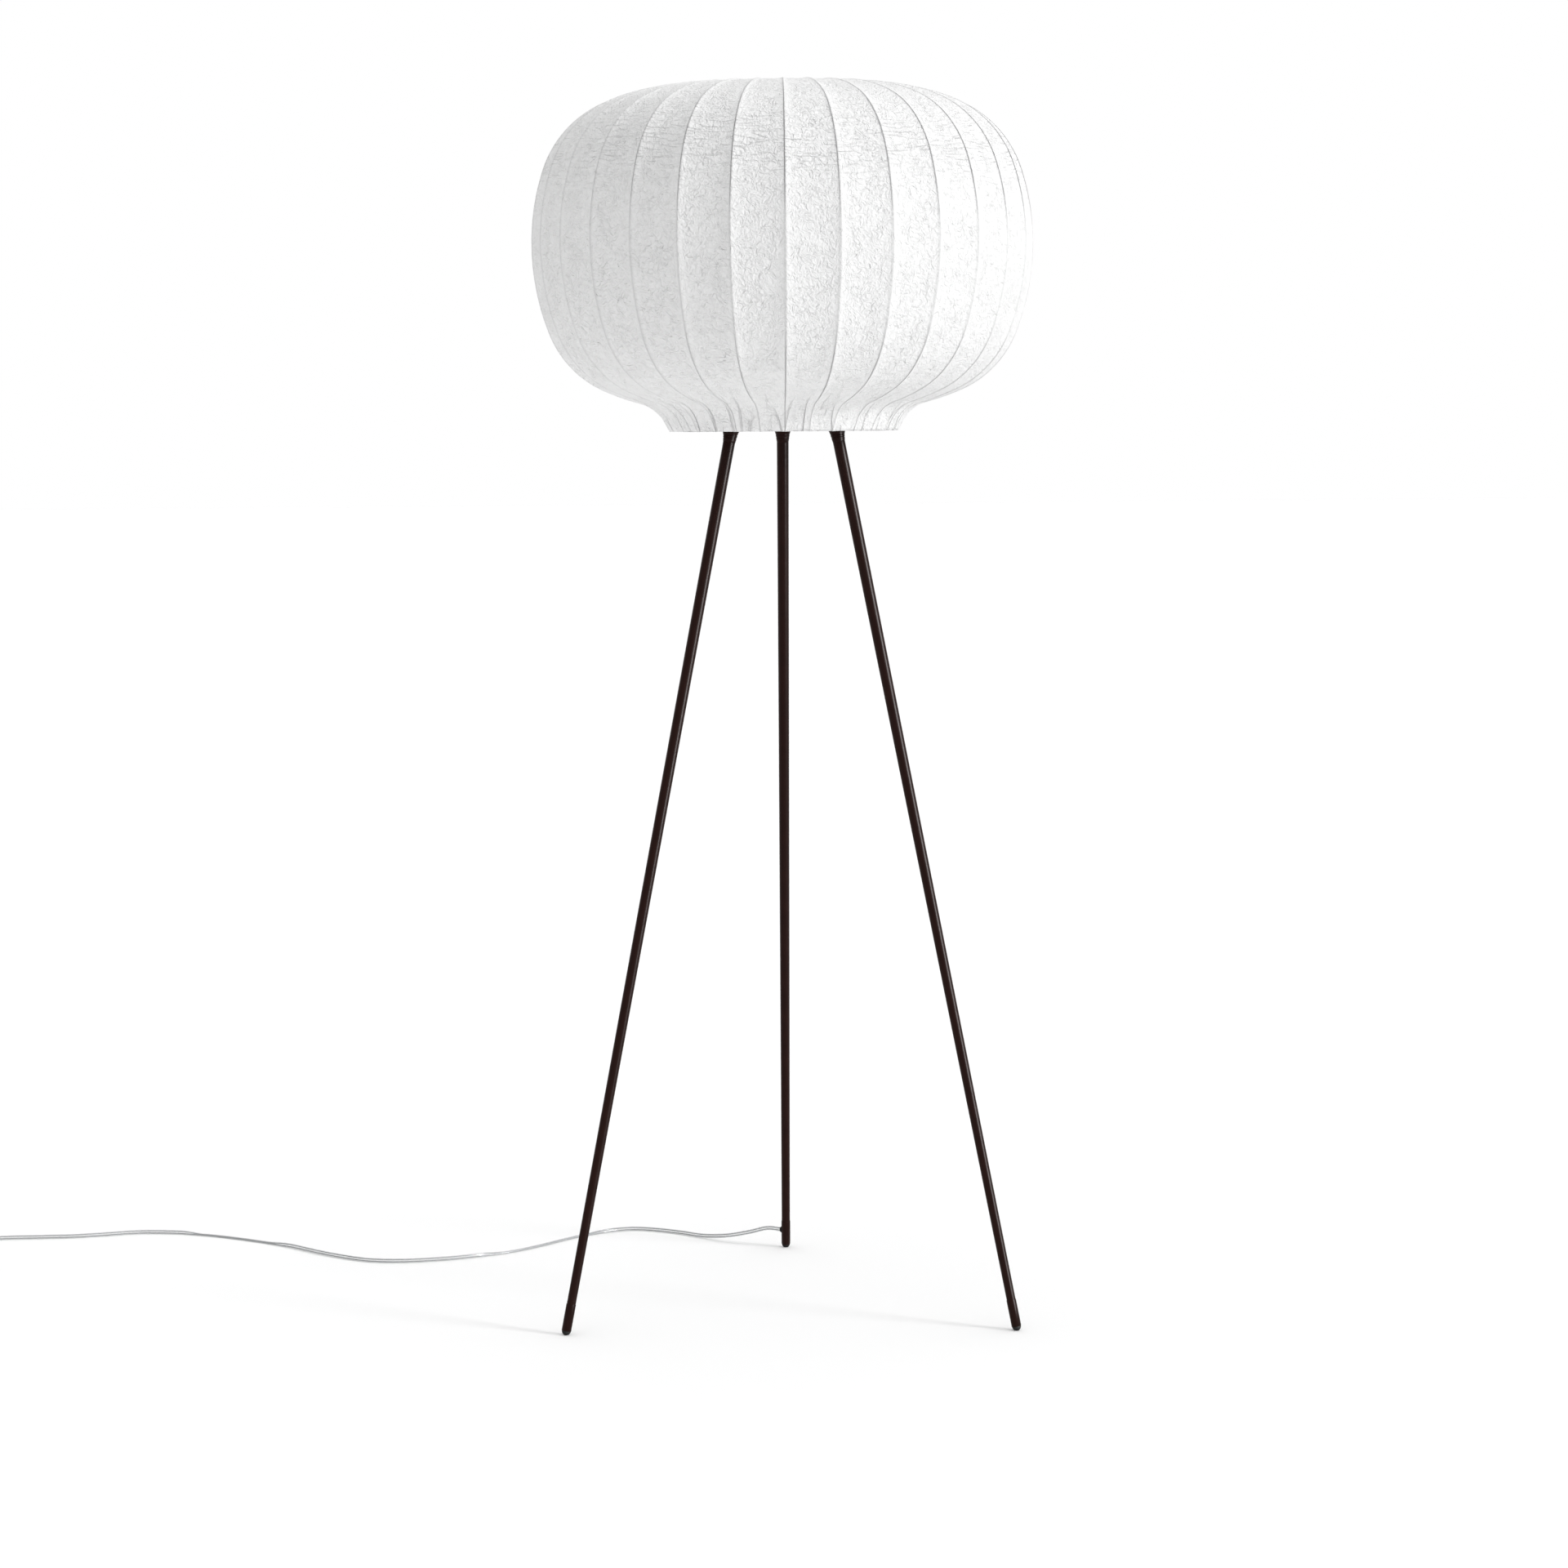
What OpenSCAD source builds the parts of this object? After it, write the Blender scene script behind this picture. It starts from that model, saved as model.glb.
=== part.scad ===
// Lantern floor lamp: a ribbed paper lantern on three tapered tube legs.
// Millimetres, +Z up. The origin is on the lamp's axis at floor level, and the back leg is at +Y.

/* [Lantern outline] */
// Widest diameter of the lantern, over its ribs
lantern_d = 600; // [570:5:660]
// Height of the lantern's lower rim above the floor
rim_h = 1070; // [950:5:1200]
// Radius of the arc from the widest line towards the shoulder
side_arc_r = 277; // [250:1:300]
// Angle that the side arc turns through
side_turn = 18.5; // [16:0.5:21]
// Radius of the shoulder arc
shoulder_arc_r = 131; // [120:1:140]
// Angle that the shoulder arc turns through
shoulder_turn = 49; // [45:0.5:52]
// Radius of the arc that flattens out into the top
top_arc_r = 256; // [230:1:280]
// Radius of the arc from the widest line down towards the belly
low_side_arc_r = 293; // [270:1:310]
// Angle that the low side arc turns through
low_side_turn = 21; // [19:0.5:23]
// Radius of the arc that turns under the lantern
low_shoulder_arc_r = 123; // [115:1:130]
// Angle that the low shoulder arc turns through
low_shoulder_turn = 45.5; // [42:0.5:48]
// Radius of the flat belly arc between the low shoulder and the neck
belly_arc_r = 302; // [270:1:330]
// Angle that the belly arc turns through
belly_turn = 8.5; // [7:0.5:10]
// Radius of the hollow curve at the neck
neck_arc_r = 47; // [38:1:52]
// Lean of the collar below the neck, from the vertical
collar_tilt = 27.5; // [22:0.5:32]
// Length of the straight collar below the neck
collar_len = 12; // [11:0.5:16]
// Diameter of the hole at the top
top_hole_d = 160; // [140:2:170]

/* [Lantern make-up] */
// Number of ribs
rib_count = 30; // [24:6:36]
// Thickness of the paper skin
skin_t = 0.8; // [0.6:0.1:1.2]
// How far the paper sinks between two ribs at the widest line
gore_sag = 3; // [1:0.5:5]
// Width and thickness of the ribs
rib_d = 2; // [1.6:0.1:3]
// Diameter of the wire rings at the top and at the rim
hoop_wire_d = 4; // [3:0.5:5]
// Air between a rib and the paper that is glued over it
glue_gap = 0.5; // [0.4:0.05:0.6]

/* [Legs] */
// Radius of the circle that the feet stand on
foot_circle_r = 310; // [270:5:340]
// Radius of the circle of leg sockets at the hub
socket_circle_r = 73; // [66:1:80]
// Outer diameter of a leg tube at its upper end
leg_top_d = 14.6; // [14:0.1:16]
// Outer diameter of a leg tube at its lower end
leg_foot_d = 10.8; // [10.6:0.1:12]
// Wall of the leg tubes
leg_wall = 1.2; // [1:0.1:1.3]
// Length of a socket below the hub plate
socket_len = 13.5; // [12:0.5:18]
// Diameter of a socket's lip under the hub plate
socket_lip_d = 19.6; // [18:0.2:22]
// Height of a socket's lip
socket_lip_h = 1.2; // [1:0.1:2]
// Length of a socket's spigot inside the leg tube
spigot_len = 22; // [16:1:30]
// Length of a foot sleeve
sleeve_len = 33; // [28:1:40]
// Outer diameter of a foot sleeve
sleeve_d = 11.6; // [11.4:0.1:12.4]
// Length of a foot sleeve's spigot inside the leg tube
sleeve_spigot_len = 16; // [10:1:24]
// Diameter of the domed rubber tips
tip_d = 10.8; // [10:0.2:11.2]
// Depth of the flat that a tip stands on
tip_flat = 0.5; // [0.3:0.1:0.8]

/* [Hub] */
// Thickness of the hub plate
plate_t = 3; // [2:0.5:4]
// Radius of the hub plate's middle
hub_r = 40; // [32:1:46]
// Width of the three arms
arm_w = 20; // [18:1:24]
// Diameter of the hollow threaded studs that hold the sockets
stud_d = 10; // [9.6:0.2:11]
// Height of a stud above the plate
stud_h = 8; // [6:1:12]
// Size of the socket nuts across their flats
nut_af = 14; // [13.6:0.2:17]
// Height of the socket nuts
nut_h = 4; // [3:0.5:5]
// Thickness of the clips that hold the rim ring
clip_t = 1; // [0.8:0.1:1.5]
// Width of the clips
clip_w = 9; // [7:0.5:12]
// Length of the clips, from the ring to their foot
clip_len = 18; // [16:0.5:22]
// Distance of the clip screws from the clips' foot
clip_screw_in = 5; // [4:0.5:7]
// Diameter of the clip screws
clip_screw_d = 3; // [2.5:0.1:3.5]

/* [Stem and lampholder] */
// Diameter of the stem between hub and lampholder
stem_d = 12; // [11:0.5:14]
// Length of the stem above the hub plate
stem_len = 88; // [70:1:110]
// Diameter of the stem's base flange
flange_d = 44; // [40:1:56]
// Height of the stem's base flange
flange_h = 8; // [6:1:12]
// Diameter of the flange screws
flange_screw_d = 4; // [3:0.5:4.5]
// Diameter of the lampholder
holder_d = 40; // [38:0.5:44]
// Wall of the lampholder
holder_wall = 2; // [1.5:0.1:2.5]
// Height of the lampholder's lower cap
holder_cap_h = 22; // [20:1:28]
// Height of the lampholder's upper skirt
holder_skirt_h = 38; // [36:1:44]
// Outer diameter of the ring screwed on the skirt
holder_ring_d = 56; // [50:1:60]
// Height of the ring screwed on the skirt
holder_ring_h = 8; // [6:0.5:12]
// Diameter of the bulb's screw cap
screw_d = 26.4; // [24:0.2:27]
// Height of the bulb's screw cap
screw_h = 25; // [23:0.5:27]

/* [Bulb] */
// Diameter of the globe bulb
globe_d = 95; // [80:1:100]
// Height of the bulb from its screw cap to the globe's top
bulb_h = 138; // [130:1:145]
// Thickness of the globe's wall
globe_wall = 1.2; // [1:0.1:2]
// Diameter of the globe's neck
bulb_neck_d = 44; // [38:1:50]
// Height of the bulb's tapered collar
bulb_collar_h = 20; // [16:1:26]
// How far the bulb lifts to come out above the lantern
bulb_lift = 310; // [300:5:400]

/* [Cord] */
// Width of the mains cord
cord_d = 6; // [5.6:0.1:6.2]
// Height at which the cord leaves the back leg
exit_h = 24; // [22:0.5:28]
// Heading of the cord as it leaves the leg, from +X towards +Y
exit_heading = 155; // [140:5:170]
// Turns in the put-away coil
coil_turns = 5; // [5:2:7]
// Outer radius of the coil's middle line
coil_r = 40; // [39:0.5:44]
// Distance from turn to turn in the coil
coil_step = 6.45; // [6.45:0.05:6.8]

/* [Foot switch] */
// Width of the switch
switch_w = 36; // [34:1:42]
// Length of the switch
switch_len = 68; // [64:1:76]
// Height of the switch's housing
switch_h = 21; // [20:0.5:24]
// Radius of the housing's upper edge
switch_edge_r = 9; // [7:0.5:9]
// Wall of the switch's housing
switch_wall = 2; // [1.5:0.1:2.5]
// Diameter of the push button
button_d = 24; // [20:0.5:24]
// How far the button stands out of the housing
button_rise = 4; // [3.5:0.5:6]
// How far the button can be pressed
button_travel = 3; // [2:0.5:3]
// Length of each bend relief on the switch
boot_len = 18; // [18:0.5:20]

/* [Plug] */
// Thickness of the plug
plug_t = 13.7; // [12:0.1:15]
// Width of the plug's front
plug_w = 35; // [32:0.5:36]
// Length of the plug's body
plug_len = 36; // [32:1:40]
// Diameter of the two pins
pin_d = 4; // [3.8:0.1:4.2]
// Distance between the two pins
pin_gap = 19; // [18:0.5:20]
// Length of the pins
pin_len = 19; // [17:0.5:20]

/* [Clearances] */
// Gap between pieces that are screwed or pushed together
fit_gap = 0.1; // [0.05:0.05:0.15]
// Gap round pieces that slide or are lifted out
slide_gap = 0.3; // [0.25:0.05:0.4]

/* [Hidden] */

paper_white = [0.95, 0.94, 0.92];
wire_white = [0.85, 0.85, 0.84];
leg_brown = [0.16, 0.12, 0.11];
zinc_grey = [0.62, 0.63, 0.65];
holder_black = [0.08, 0.08, 0.08];
brass_tone = [0.78, 0.62, 0.3];
cord_grey = [0.72, 0.73, 0.74];
plastic_white = [0.9, 0.9, 0.89];

$fn = 64;
// Thinnest sliver by which a cut runs past the face that it opens
past = 1;

// --- Outline of the lantern: arcs [centre, radius, first angle, last angle] in the plane of a rib ---
function dir(a) = [cos(a), sin(a)];
lantern_r = lantern_d / 2;
shoulder_end = side_turn + shoulder_turn;
low_shoulder_end = low_side_turn + low_shoulder_turn;
belly_end = low_shoulder_end + belly_turn;
// The outline is laid out from the widest line, which is at height 0 here
side_c = [lantern_r - side_arc_r, 0];
shoulder_c = side_c + (side_arc_r - shoulder_arc_r) * dir(side_turn);
top_c = shoulder_c + (shoulder_arc_r - top_arc_r) * dir(shoulder_end);
low_side_c = [lantern_r - low_side_arc_r, 0];
low_shoulder_c = low_side_c + (low_side_arc_r - low_shoulder_arc_r) * dir(-low_side_turn);
belly_c = low_shoulder_c + (low_shoulder_arc_r - belly_arc_r) * dir(-low_shoulder_end);
neck_c = belly_c + (belly_arc_r + neck_arc_r) * dir(-belly_end);
neck_end = neck_c - neck_arc_r * dir(-collar_tilt);
rim_end = neck_end - collar_len * dir(90 - collar_tilt);
widest_h = rim_h - rim_end.y;
rim_r = rim_end.x;
top_h = widest_h + top_c.y + top_arc_r;
top_hole_r = top_hole_d / 2;

// Points of the outline with their outward normals, from the top hole to the rim
function arc_pts(c, r, a0, a1, n, first = 1) =
    [for (k = [first:n]) let (a = a0 + (a1 - a0) * k / n) [c + r * dir(a), dir(a)]];
outline = concat(
    [[[top_hole_r, top_c.y + top_arc_r], dir(90)]],
    arc_pts(top_c, top_arc_r, 90, shoulder_end, 4, 0),
    arc_pts(shoulder_c, shoulder_arc_r, shoulder_end, side_turn, 7),
    arc_pts(side_c, side_arc_r, side_turn, 0, 3),
    arc_pts(low_side_c, low_side_arc_r, 0, -low_side_turn, 4),
    arc_pts(low_shoulder_c, low_shoulder_arc_r, -low_side_turn, -low_shoulder_end, 6),
    arc_pts(belly_c, belly_arc_r, -low_shoulder_end, -belly_end, 2),
    [for (k = [1:4]) let (a = -belly_end + (belly_end - collar_tilt) * k / 4)
        [neck_c - neck_arc_r * dir(a), dir(a)]],
    [[rim_end, dir(-collar_tilt)]]
);

// --- Sizes that follow from the ones above ---
hoop_r = hoop_wire_d / 2;
// Depth of a rib's inner side under the outer face of the paper
rib_depth = skin_t + glue_gap + rib_d;
plate_top = rim_h + plate_t;
hoop_h = plate_top + hoop_r;
// Radius of the paper's outer face on a rib, at a height on the collar
function collar_r(h) = rim_r + (h - rim_h) * tan(collar_tilt);
rim_ring_r = collar_r(hoop_h) - rib_depth / cos(collar_tilt) - hoop_r / cos(collar_tilt) - fit_gap;
top_ring_r = top_hole_r + hoop_r;
// The arms end just inside the paper rim
arm_reach = collar_r(rim_h) - skin_t / cos(collar_tilt) - gore_sag / 4 - 2 * slide_gap;
clip_foot_r = rim_ring_r - clip_len;
clip_screw_r = clip_foot_r + clip_screw_in;

// Legs: heights along a leg are measured from the middle of its tip's dome
tip_r = tip_d / 2;
tip_h = tip_r - tip_flat;
leg_run = foot_circle_r - socket_circle_r;
leg_rise = rim_h - tip_h;
leg_lean = atan(leg_run / leg_rise);
leg_axis = sqrt(leg_run * leg_run + leg_rise * leg_rise);
leg_top_s = leg_axis - socket_len;
leg_len = leg_top_s - sleeve_len;
leg_turns = [["left", 120], ["right", 240], ["back", 0]];
lead_r = cord_d / 2;
lead_bore_r = lead_r + slide_gap + fit_gap;
leg_foot_bore_r = leg_foot_d / 2 - leg_wall;
leg_top_bore_r = leg_top_d / 2 - leg_wall;
// Bore of the leg tube where the socket's spigot ends
spigot_bore_r = leg_top_bore_r - (leg_top_bore_r - leg_foot_bore_r) * spigot_len / leg_len;
spigot_r = spigot_bore_r - fit_gap;
sleeve_spigot_r = leg_foot_bore_r - fit_gap;
sleeve_bore_r = lead_r + slide_gap;
stud_r = stud_d / 2;
stud_top = plate_top + stud_h;

// Cord outlet in the back foot sleeve
exit_s = (exit_h - tip_h) / cos(leg_lean);
exit_y = foot_circle_r - (exit_h - tip_h) * tan(leg_lean);
exit_dir = [cos(exit_heading), sin(exit_heading), 0];
bush_r = lead_r + 0.6;
bush_flange_r = bush_r + 0.8;
bush_flange_t = 1.2;
// The flange stands clear of the round sleeve, and the cord starts at its face
bush_face = sleeve_d / 2 + 0.4 + bush_flange_t;
exit_point = [0, exit_y, exit_h] + bush_face * exit_dir;

// Stem and lampholder
stem_r = stem_d / 2;
stem_bore_r = lead_r + slide_gap;
flange_r = flange_d / 2;
flange_screw_circle = (stem_r + flange_r) / 2;
flange_screw_r = flange_screw_d / 2;
stem_top = plate_top + stem_len;
// Floor of the flange under the stem, and how far the stem stands up inside the cap
stem_seat = 1.5;
stem_in_cap = 8;
cap_floor = stem_top - stem_in_cap;
cap_top = cap_floor + holder_cap_h;
holder_r = holder_d / 2;
insert_r = holder_r - holder_wall - fit_gap;
// How far the ceramic insert reaches down into the cap and up into the skirt
insert_in_cap = 8;
insert_in_skirt = 4;
insert_bottom = cap_top - insert_in_cap;
insert_top = cap_top + insert_in_skirt;
skirt_top = cap_top + holder_skirt_h;
shell_t = 0.5;
screw_r = screw_d / 2;
shell_r = screw_r + slide_gap + shell_t;
shell_h = 28;
contact_rise = 4;
contact_t = 0.6;
// The bulb's tip stands just above the centre contact
bulb_tip_h = insert_top + contact_rise + contact_t + fit_gap;
bulb_tip_t = 2.4;
bulb_base_h = bulb_tip_h + bulb_tip_t;
collar_base_h = bulb_base_h + screw_h;
collar_top_h = collar_base_h + bulb_collar_h;
globe_r = globe_d / 2;
globe_h = bulb_base_h + bulb_h - globe_r;
bulb_neck_r = bulb_neck_d / 2;

// Inner lead: bend above the back socket, then across to the stem
lead_bend_r = 18;
// The lead stands straight up out of the socket's stud for this long
lead_rise = 5;
lead_bend_h = stud_top + lead_rise;
lead_in_insert = 4;
lead_cross_h = lead_bend_h + lead_bend_r;

// Foot switch: in line with the cord, past the run's far end
switch_c = [-1110, 292];
run_end_y = 344;
cord_entry_h = 9;
end_cap_r = switch_w / 2;
switch_straight = switch_len - switch_w;
boot_tip = run_end_y - switch_c.y;
boot_root = switch_len / 2 + slide_gap;
boot_tip_r = lead_r + 0.5;
boot_root_r = 6.4;
// The thinner neck by which a boot sits in the housing's wall
boot_neck_r = 4.6;
boot_neck_len = 4;
base_t = 2.2;
block_h = 6.8;
button_r = button_d / 2;
button_flange_r = button_r + 1.2;
button_flange_t = 2.4;
roof_h = switch_h - switch_wall;
// The roof curves down over the flange's rim, so the flange lies that much lower
roof_curve_r = switch_edge_r - switch_wall;
flange_over = button_flange_r - (switch_w / 2 - switch_edge_r);
roof_drop = roof_curve_r - sqrt(roof_curve_r * roof_curve_r - flange_over * flange_over);
button_flange_top = roof_h - roof_drop - slide_gap - fit_gap;
button_flange_h = button_flange_top - button_flange_t;
spring_foot = base_t + block_h + fit_gap;
screw_spot = [switch_w * 0.32, switch_len * 0.3];
switch_screw_r = 1.4;
switch_screw_len = 11;
screw_head_r = 2.6;
screw_head_t = 0.9;
// The screw heads lie this deep in the base
head_depth = 0.2;
spring_r = 6;

// Cord route on the floor, as points chosen one by one
floor_z = 3.1;
run_points = concat([exit_point, exit_point + 20 * exit_dir], [
    [-50, 329, 16], [-78, 345, 8.5], [-108, 367, 3.7],
    [-139, 391, floor_z], [-171, 409, floor_z], [-205, 418, floor_z], [-238, 407, floor_z],
    [-268, 387, floor_z], [-294, 360, floor_z], [-321, 329, floor_z], [-351, 299, floor_z],
    [-384, 276, floor_z], [-420, 257, floor_z], [-459, 244, floor_z],
    [-500, 238, floor_z], [-541, 244, floor_z], [-577, 266, floor_z], [-610, 293, floor_z],
    [-641, 323, floor_z], [-674, 351, floor_z], [-709, 375, floor_z],
    [-746, 397, floor_z], [-785, 415, floor_z], [-827, 425, floor_z], [-869, 427, floor_z],
    [-910, 416, floor_z], [-951, 406, floor_z], [-993, 403, floor_z], [-1034, 401, floor_z],
    [-1066, 395, 3.4], [-1090, 381, 4.8], [-1105, 363, 7],
    [switch_c.x, run_end_y, cord_entry_h]
]);
// Two layers of turns, wound inwards and out again, above the tie that goes under them
coil_c = [switch_c.x + coil_r, 190];
coil_z = 4.2;
layer_step = coil_step;
link_points = [
    [-1110, 240, cord_entry_h], [-1110, 234, 8.8], [-1110, 222, 6.2], [-1110, 209, 4.3],
    [-1110, 202, coil_z], [switch_c.x, coil_c.y + cord_d, coil_z]
];
plug_c = [switch_c.x, 136];
plug_boot_len = 14;
// Length of the pins inside the plug's body
pin_root = 6;
end_points = [
    [switch_c.x, coil_c.y - cord_d, coil_z + layer_step], [-1110, 178, 10.5], [-1110, 167, 8.8],
    [-1110, 156, 7.1], [plug_c.x, plug_c.y + plug_boot_len, plug_t / 2]
];

// --- Cords: a smooth curve through the points, then one tube along it ---
function spline(p0, p1, p2, p3, t) =
    0.5 * (2 * p1 + (p2 - p0) * t + (2 * p0 - 5 * p1 + 4 * p2 - p3) * t * t
        + (3 * p1 - p0 - 3 * p2 + p3) * t * t * t);
function route(p, steps) = let (n = len(p)) concat(
    [for (i = [0:n - 2]) for (k = [0:steps - 1])
        let (before = i > 0 ? p[i - 1] : 2 * p[0] - p[1], after = i < n - 2 ? p[i + 2] : 2 * p[n - 1] - p[n - 2])
        spline(before, p[i], p[i + 1], after, k / steps)],
    [p[n - 1]]
);
function unit(v) = v / norm(v);
function step(p, i) = unit(p[i + 1] - p[i]);
function heading(p, i) = unit(step(p, min(i, len(p) - 2)) + step(p, max(i - 1, 0)));
function tube_ring(p, i, r, sides, across) =
    let (t = heading(p, i), side = unit(cross(t, across)), up = cross(side, t))
    [for (k = [0:sides - 1]) let (a = 360 * k / sides) p[i] + r * (cos(a) * side + sin(a) * up)];
// No stretch of the line may run along the direction across
module tube(p, r, sides, across = [0, 0, 1]) {
    n = len(p);
    points = [for (i = [0:n - 1]) each tube_ring(p, i, r, sides, across)];
    walls = [for (i = [0:n - 2]) for (k = [0:sides - 1])
        let (a = i * sides + k, b = i * sides + (k + 1) % sides)
        each [[a, b, b + sides], [a, b + sides, a + sides]]];
    first = [for (k = [1:sides - 2]) [0, k + 1, k]];
    last = [for (k = [1:sides - 2]) let (e = (n - 1) * sides) [e, e + k, e + k + 1]];
    polyhedron(points, concat(first, walls, last));
}

// Middle line of the coil; u counts turns from its start on the left
coil_rings = 24;
function coil_climb(u) = min(1, max(0, 2 * (u - coil_turns / 2) + 0.5));
function coil_point(u) =
    let (r = coil_r - coil_step * min(u, coil_turns - u), a = 180 + 360 * u)
    [coil_c.x + r * cos(a), coil_c.y + r * sin(a), coil_z + layer_step * coil_climb(u)];
coil_line = concat(
    [[coil_c.x - coil_r, coil_c.y + cord_d, coil_z]],
    [for (i = [0:coil_rings * coil_turns]) coil_point(i / coil_rings)],
    [[coil_c.x - coil_r, coil_c.y - cord_d, coil_z + layer_step]]
);
coil_self_gap = min([for (i = [0:len(coil_line) - 1])
    for (j = [i + coil_rings / 2:1:len(coil_line) - 1]) norm(coil_line[i] - coil_line[j])]) - cord_d;
echo(least_gap_between_turns = coil_self_gap);  // cord_coil

// --- Lantern ---
// Drop of the paper halfway between two ribs, at a given radius
function sag(r) = gore_sag * pow(r / lantern_r, 2);
function skin_point(k, j, depth) =
    let (m = outline[k][0] - depth * outline[k][1], out = outline[k][1], a = 180 * j / rib_count - 90,
        mid = j % 2, drop = mid * sag(m.x),
        r = m.x * (mid ? cos(180 / rib_count) : 1) - drop * out.x)
    [r * cos(a), r * sin(a), widest_h + m.y - drop * out.y];
module shade_skin() {
    rows = len(outline);
    cols = 2 * rib_count;
    points = concat(
        [for (k = [0:rows - 1]) for (j = [0:cols - 1]) skin_point(k, j, 0)],
        [for (k = [0:rows - 1]) for (j = [0:cols - 1]) skin_point(k, j, skin_t)]
    );
    inner = rows * cols;
    faces = [for (j = [0:cols - 1]) let (n = (j + 1) % cols, last = (rows - 1) * cols) each concat(
        [for (k = [0:rows - 2]) let (a = k * cols + j, b = k * cols + n) each [
            [a, b, b + cols], [a, b + cols, a + cols],
            [inner + a, inner + b + cols, inner + b], [inner + a, inner + a + cols, inner + b + cols]
        ]],
        [[j, inner + n, n], [j, inner + j, inner + n]],
        [[last + j, last + n, inner + last + n], [last + j, inner + last + n, inner + last + j]]
    )];
    color(paper_white) polyhedron(points, faces);
}

// A rib follows the paper's own rows, under it, and stops on the rim ring
rib_rows = len(outline) - 2;
rib_outer = [for (k = [0:rib_rows]) outline[k][0] - (skin_t + glue_gap) * outline[k][1]];
rib_inner = [for (k = [rib_rows:-1:0]) outline[k][0] - (skin_t + glue_gap + rib_d) * outline[k][1]];
// Length of the straight end that runs down the collar to the rim ring
rib_tail = collar_len - plate_t / cos(collar_tilt);
rib_ends = [for (p = [rib_outer[rib_rows], rib_inner[0]]) p - rib_tail * dir(90 - collar_tilt)];
module rib() {
    translate([0, rib_d / 2, widest_h]) rotate([90, 0, 0])
        linear_extrude(rib_d) polygon(concat(rib_outer, rib_ends, rib_inner));
}
module shade_ribs() {
    color(wire_white)
        for (i = [0:rib_count - 1])
            rotate([0, 0, 360 * i / rib_count - 90]) rib();
}
module wire_ring(r, wire_d) {
    rotate_extrude($fn = 128) translate([r, 0]) circle(d = wire_d, $fn = 24);
}
module top_ring() {
    // The ring lies under the ends of the ribs
    color(wire_white)
        translate([0, 0, top_h - rib_depth - hoop_r - fit_gap]) wire_ring(top_ring_r, hoop_wire_d);
}
module rim_ring() {
    color(wire_white) translate([0, 0, hoop_h]) wire_ring(rim_ring_r, hoop_wire_d);
}

// --- Hub ---
module at_legs() {
    for (leg = leg_turns) rotate([0, 0, leg[1]]) children();
}
module hub_plate() {
    color(leg_brown) difference() {
        translate([0, 0, rim_h]) linear_extrude(plate_t) {
            circle(hub_r);
            at_legs() {
                translate([-arm_w / 2, 0]) square([arm_w, arm_reach - arm_w / 2]);
                translate([0, arm_reach - arm_w / 2]) circle(arm_w / 2);
            }
        }
        at_legs() {
            translate([0, socket_circle_r, rim_h - past])
                cylinder(h = plate_t + 2 * past, r = stud_r + fit_gap);
            translate([0, clip_screw_r, rim_h - past])
                cylinder(h = plate_t + 2 * past, r = clip_screw_d / 2 + fit_gap);
        }
        at_flange_screws()
            translate([0, 0, rim_h - past]) cylinder(h = plate_t + 2 * past, r = flange_screw_r + fit_gap);
    }
}
// A strap that lies on the arm and hooks over the rim ring
module clip_outline() {
    hook_r = hoop_r + fit_gap;
    difference() {
        union() {
            translate([rim_ring_r, hoop_r]) circle(hook_r + clip_t);
            translate([clip_foot_r, 0]) square([rim_ring_r - clip_foot_r, clip_t]);
        }
        translate([rim_ring_r, hoop_r]) circle(hook_r);
        translate([rim_ring_r, -2 * hook_r]) square([2 * hook_r, hoop_r + 2 * hook_r]);
        // The hook stops over the ring, short of the ribs
        translate([rim_ring_r + hoop_r, 0]) square(4 * hook_r);
        translate([rim_ring_r - 2 * hook_r, -2 * hook_r]) square([4 * hook_r, 2 * hook_r]);
    }
}
module rim_clips() {
    color(zinc_grey) at_legs() difference() {
        translate([-clip_w / 2, 0, plate_top])
            rotate([90, 0, 90]) linear_extrude(clip_w) clip_outline();
        translate([0, clip_screw_r, plate_top - past])
            cylinder(h = clip_t + 2 * past, r = clip_screw_d / 2 + fit_gap);
    }
}
// A screw or bolt standing on its head's underside at height 0
module screw(d, shank, head_d, head_h) {
    translate([0, 0, -shank]) cylinder(h = shank + head_h / 2, d = d);
    cylinder(h = head_h, d = head_d);
}
module clip_screws() {
    color(zinc_grey) at_legs()
        translate([0, clip_screw_r, plate_top + clip_t])
            screw(clip_screw_d, clip_t + plate_t, 2 * clip_screw_d, clip_screw_d * 0.7);
}

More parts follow.
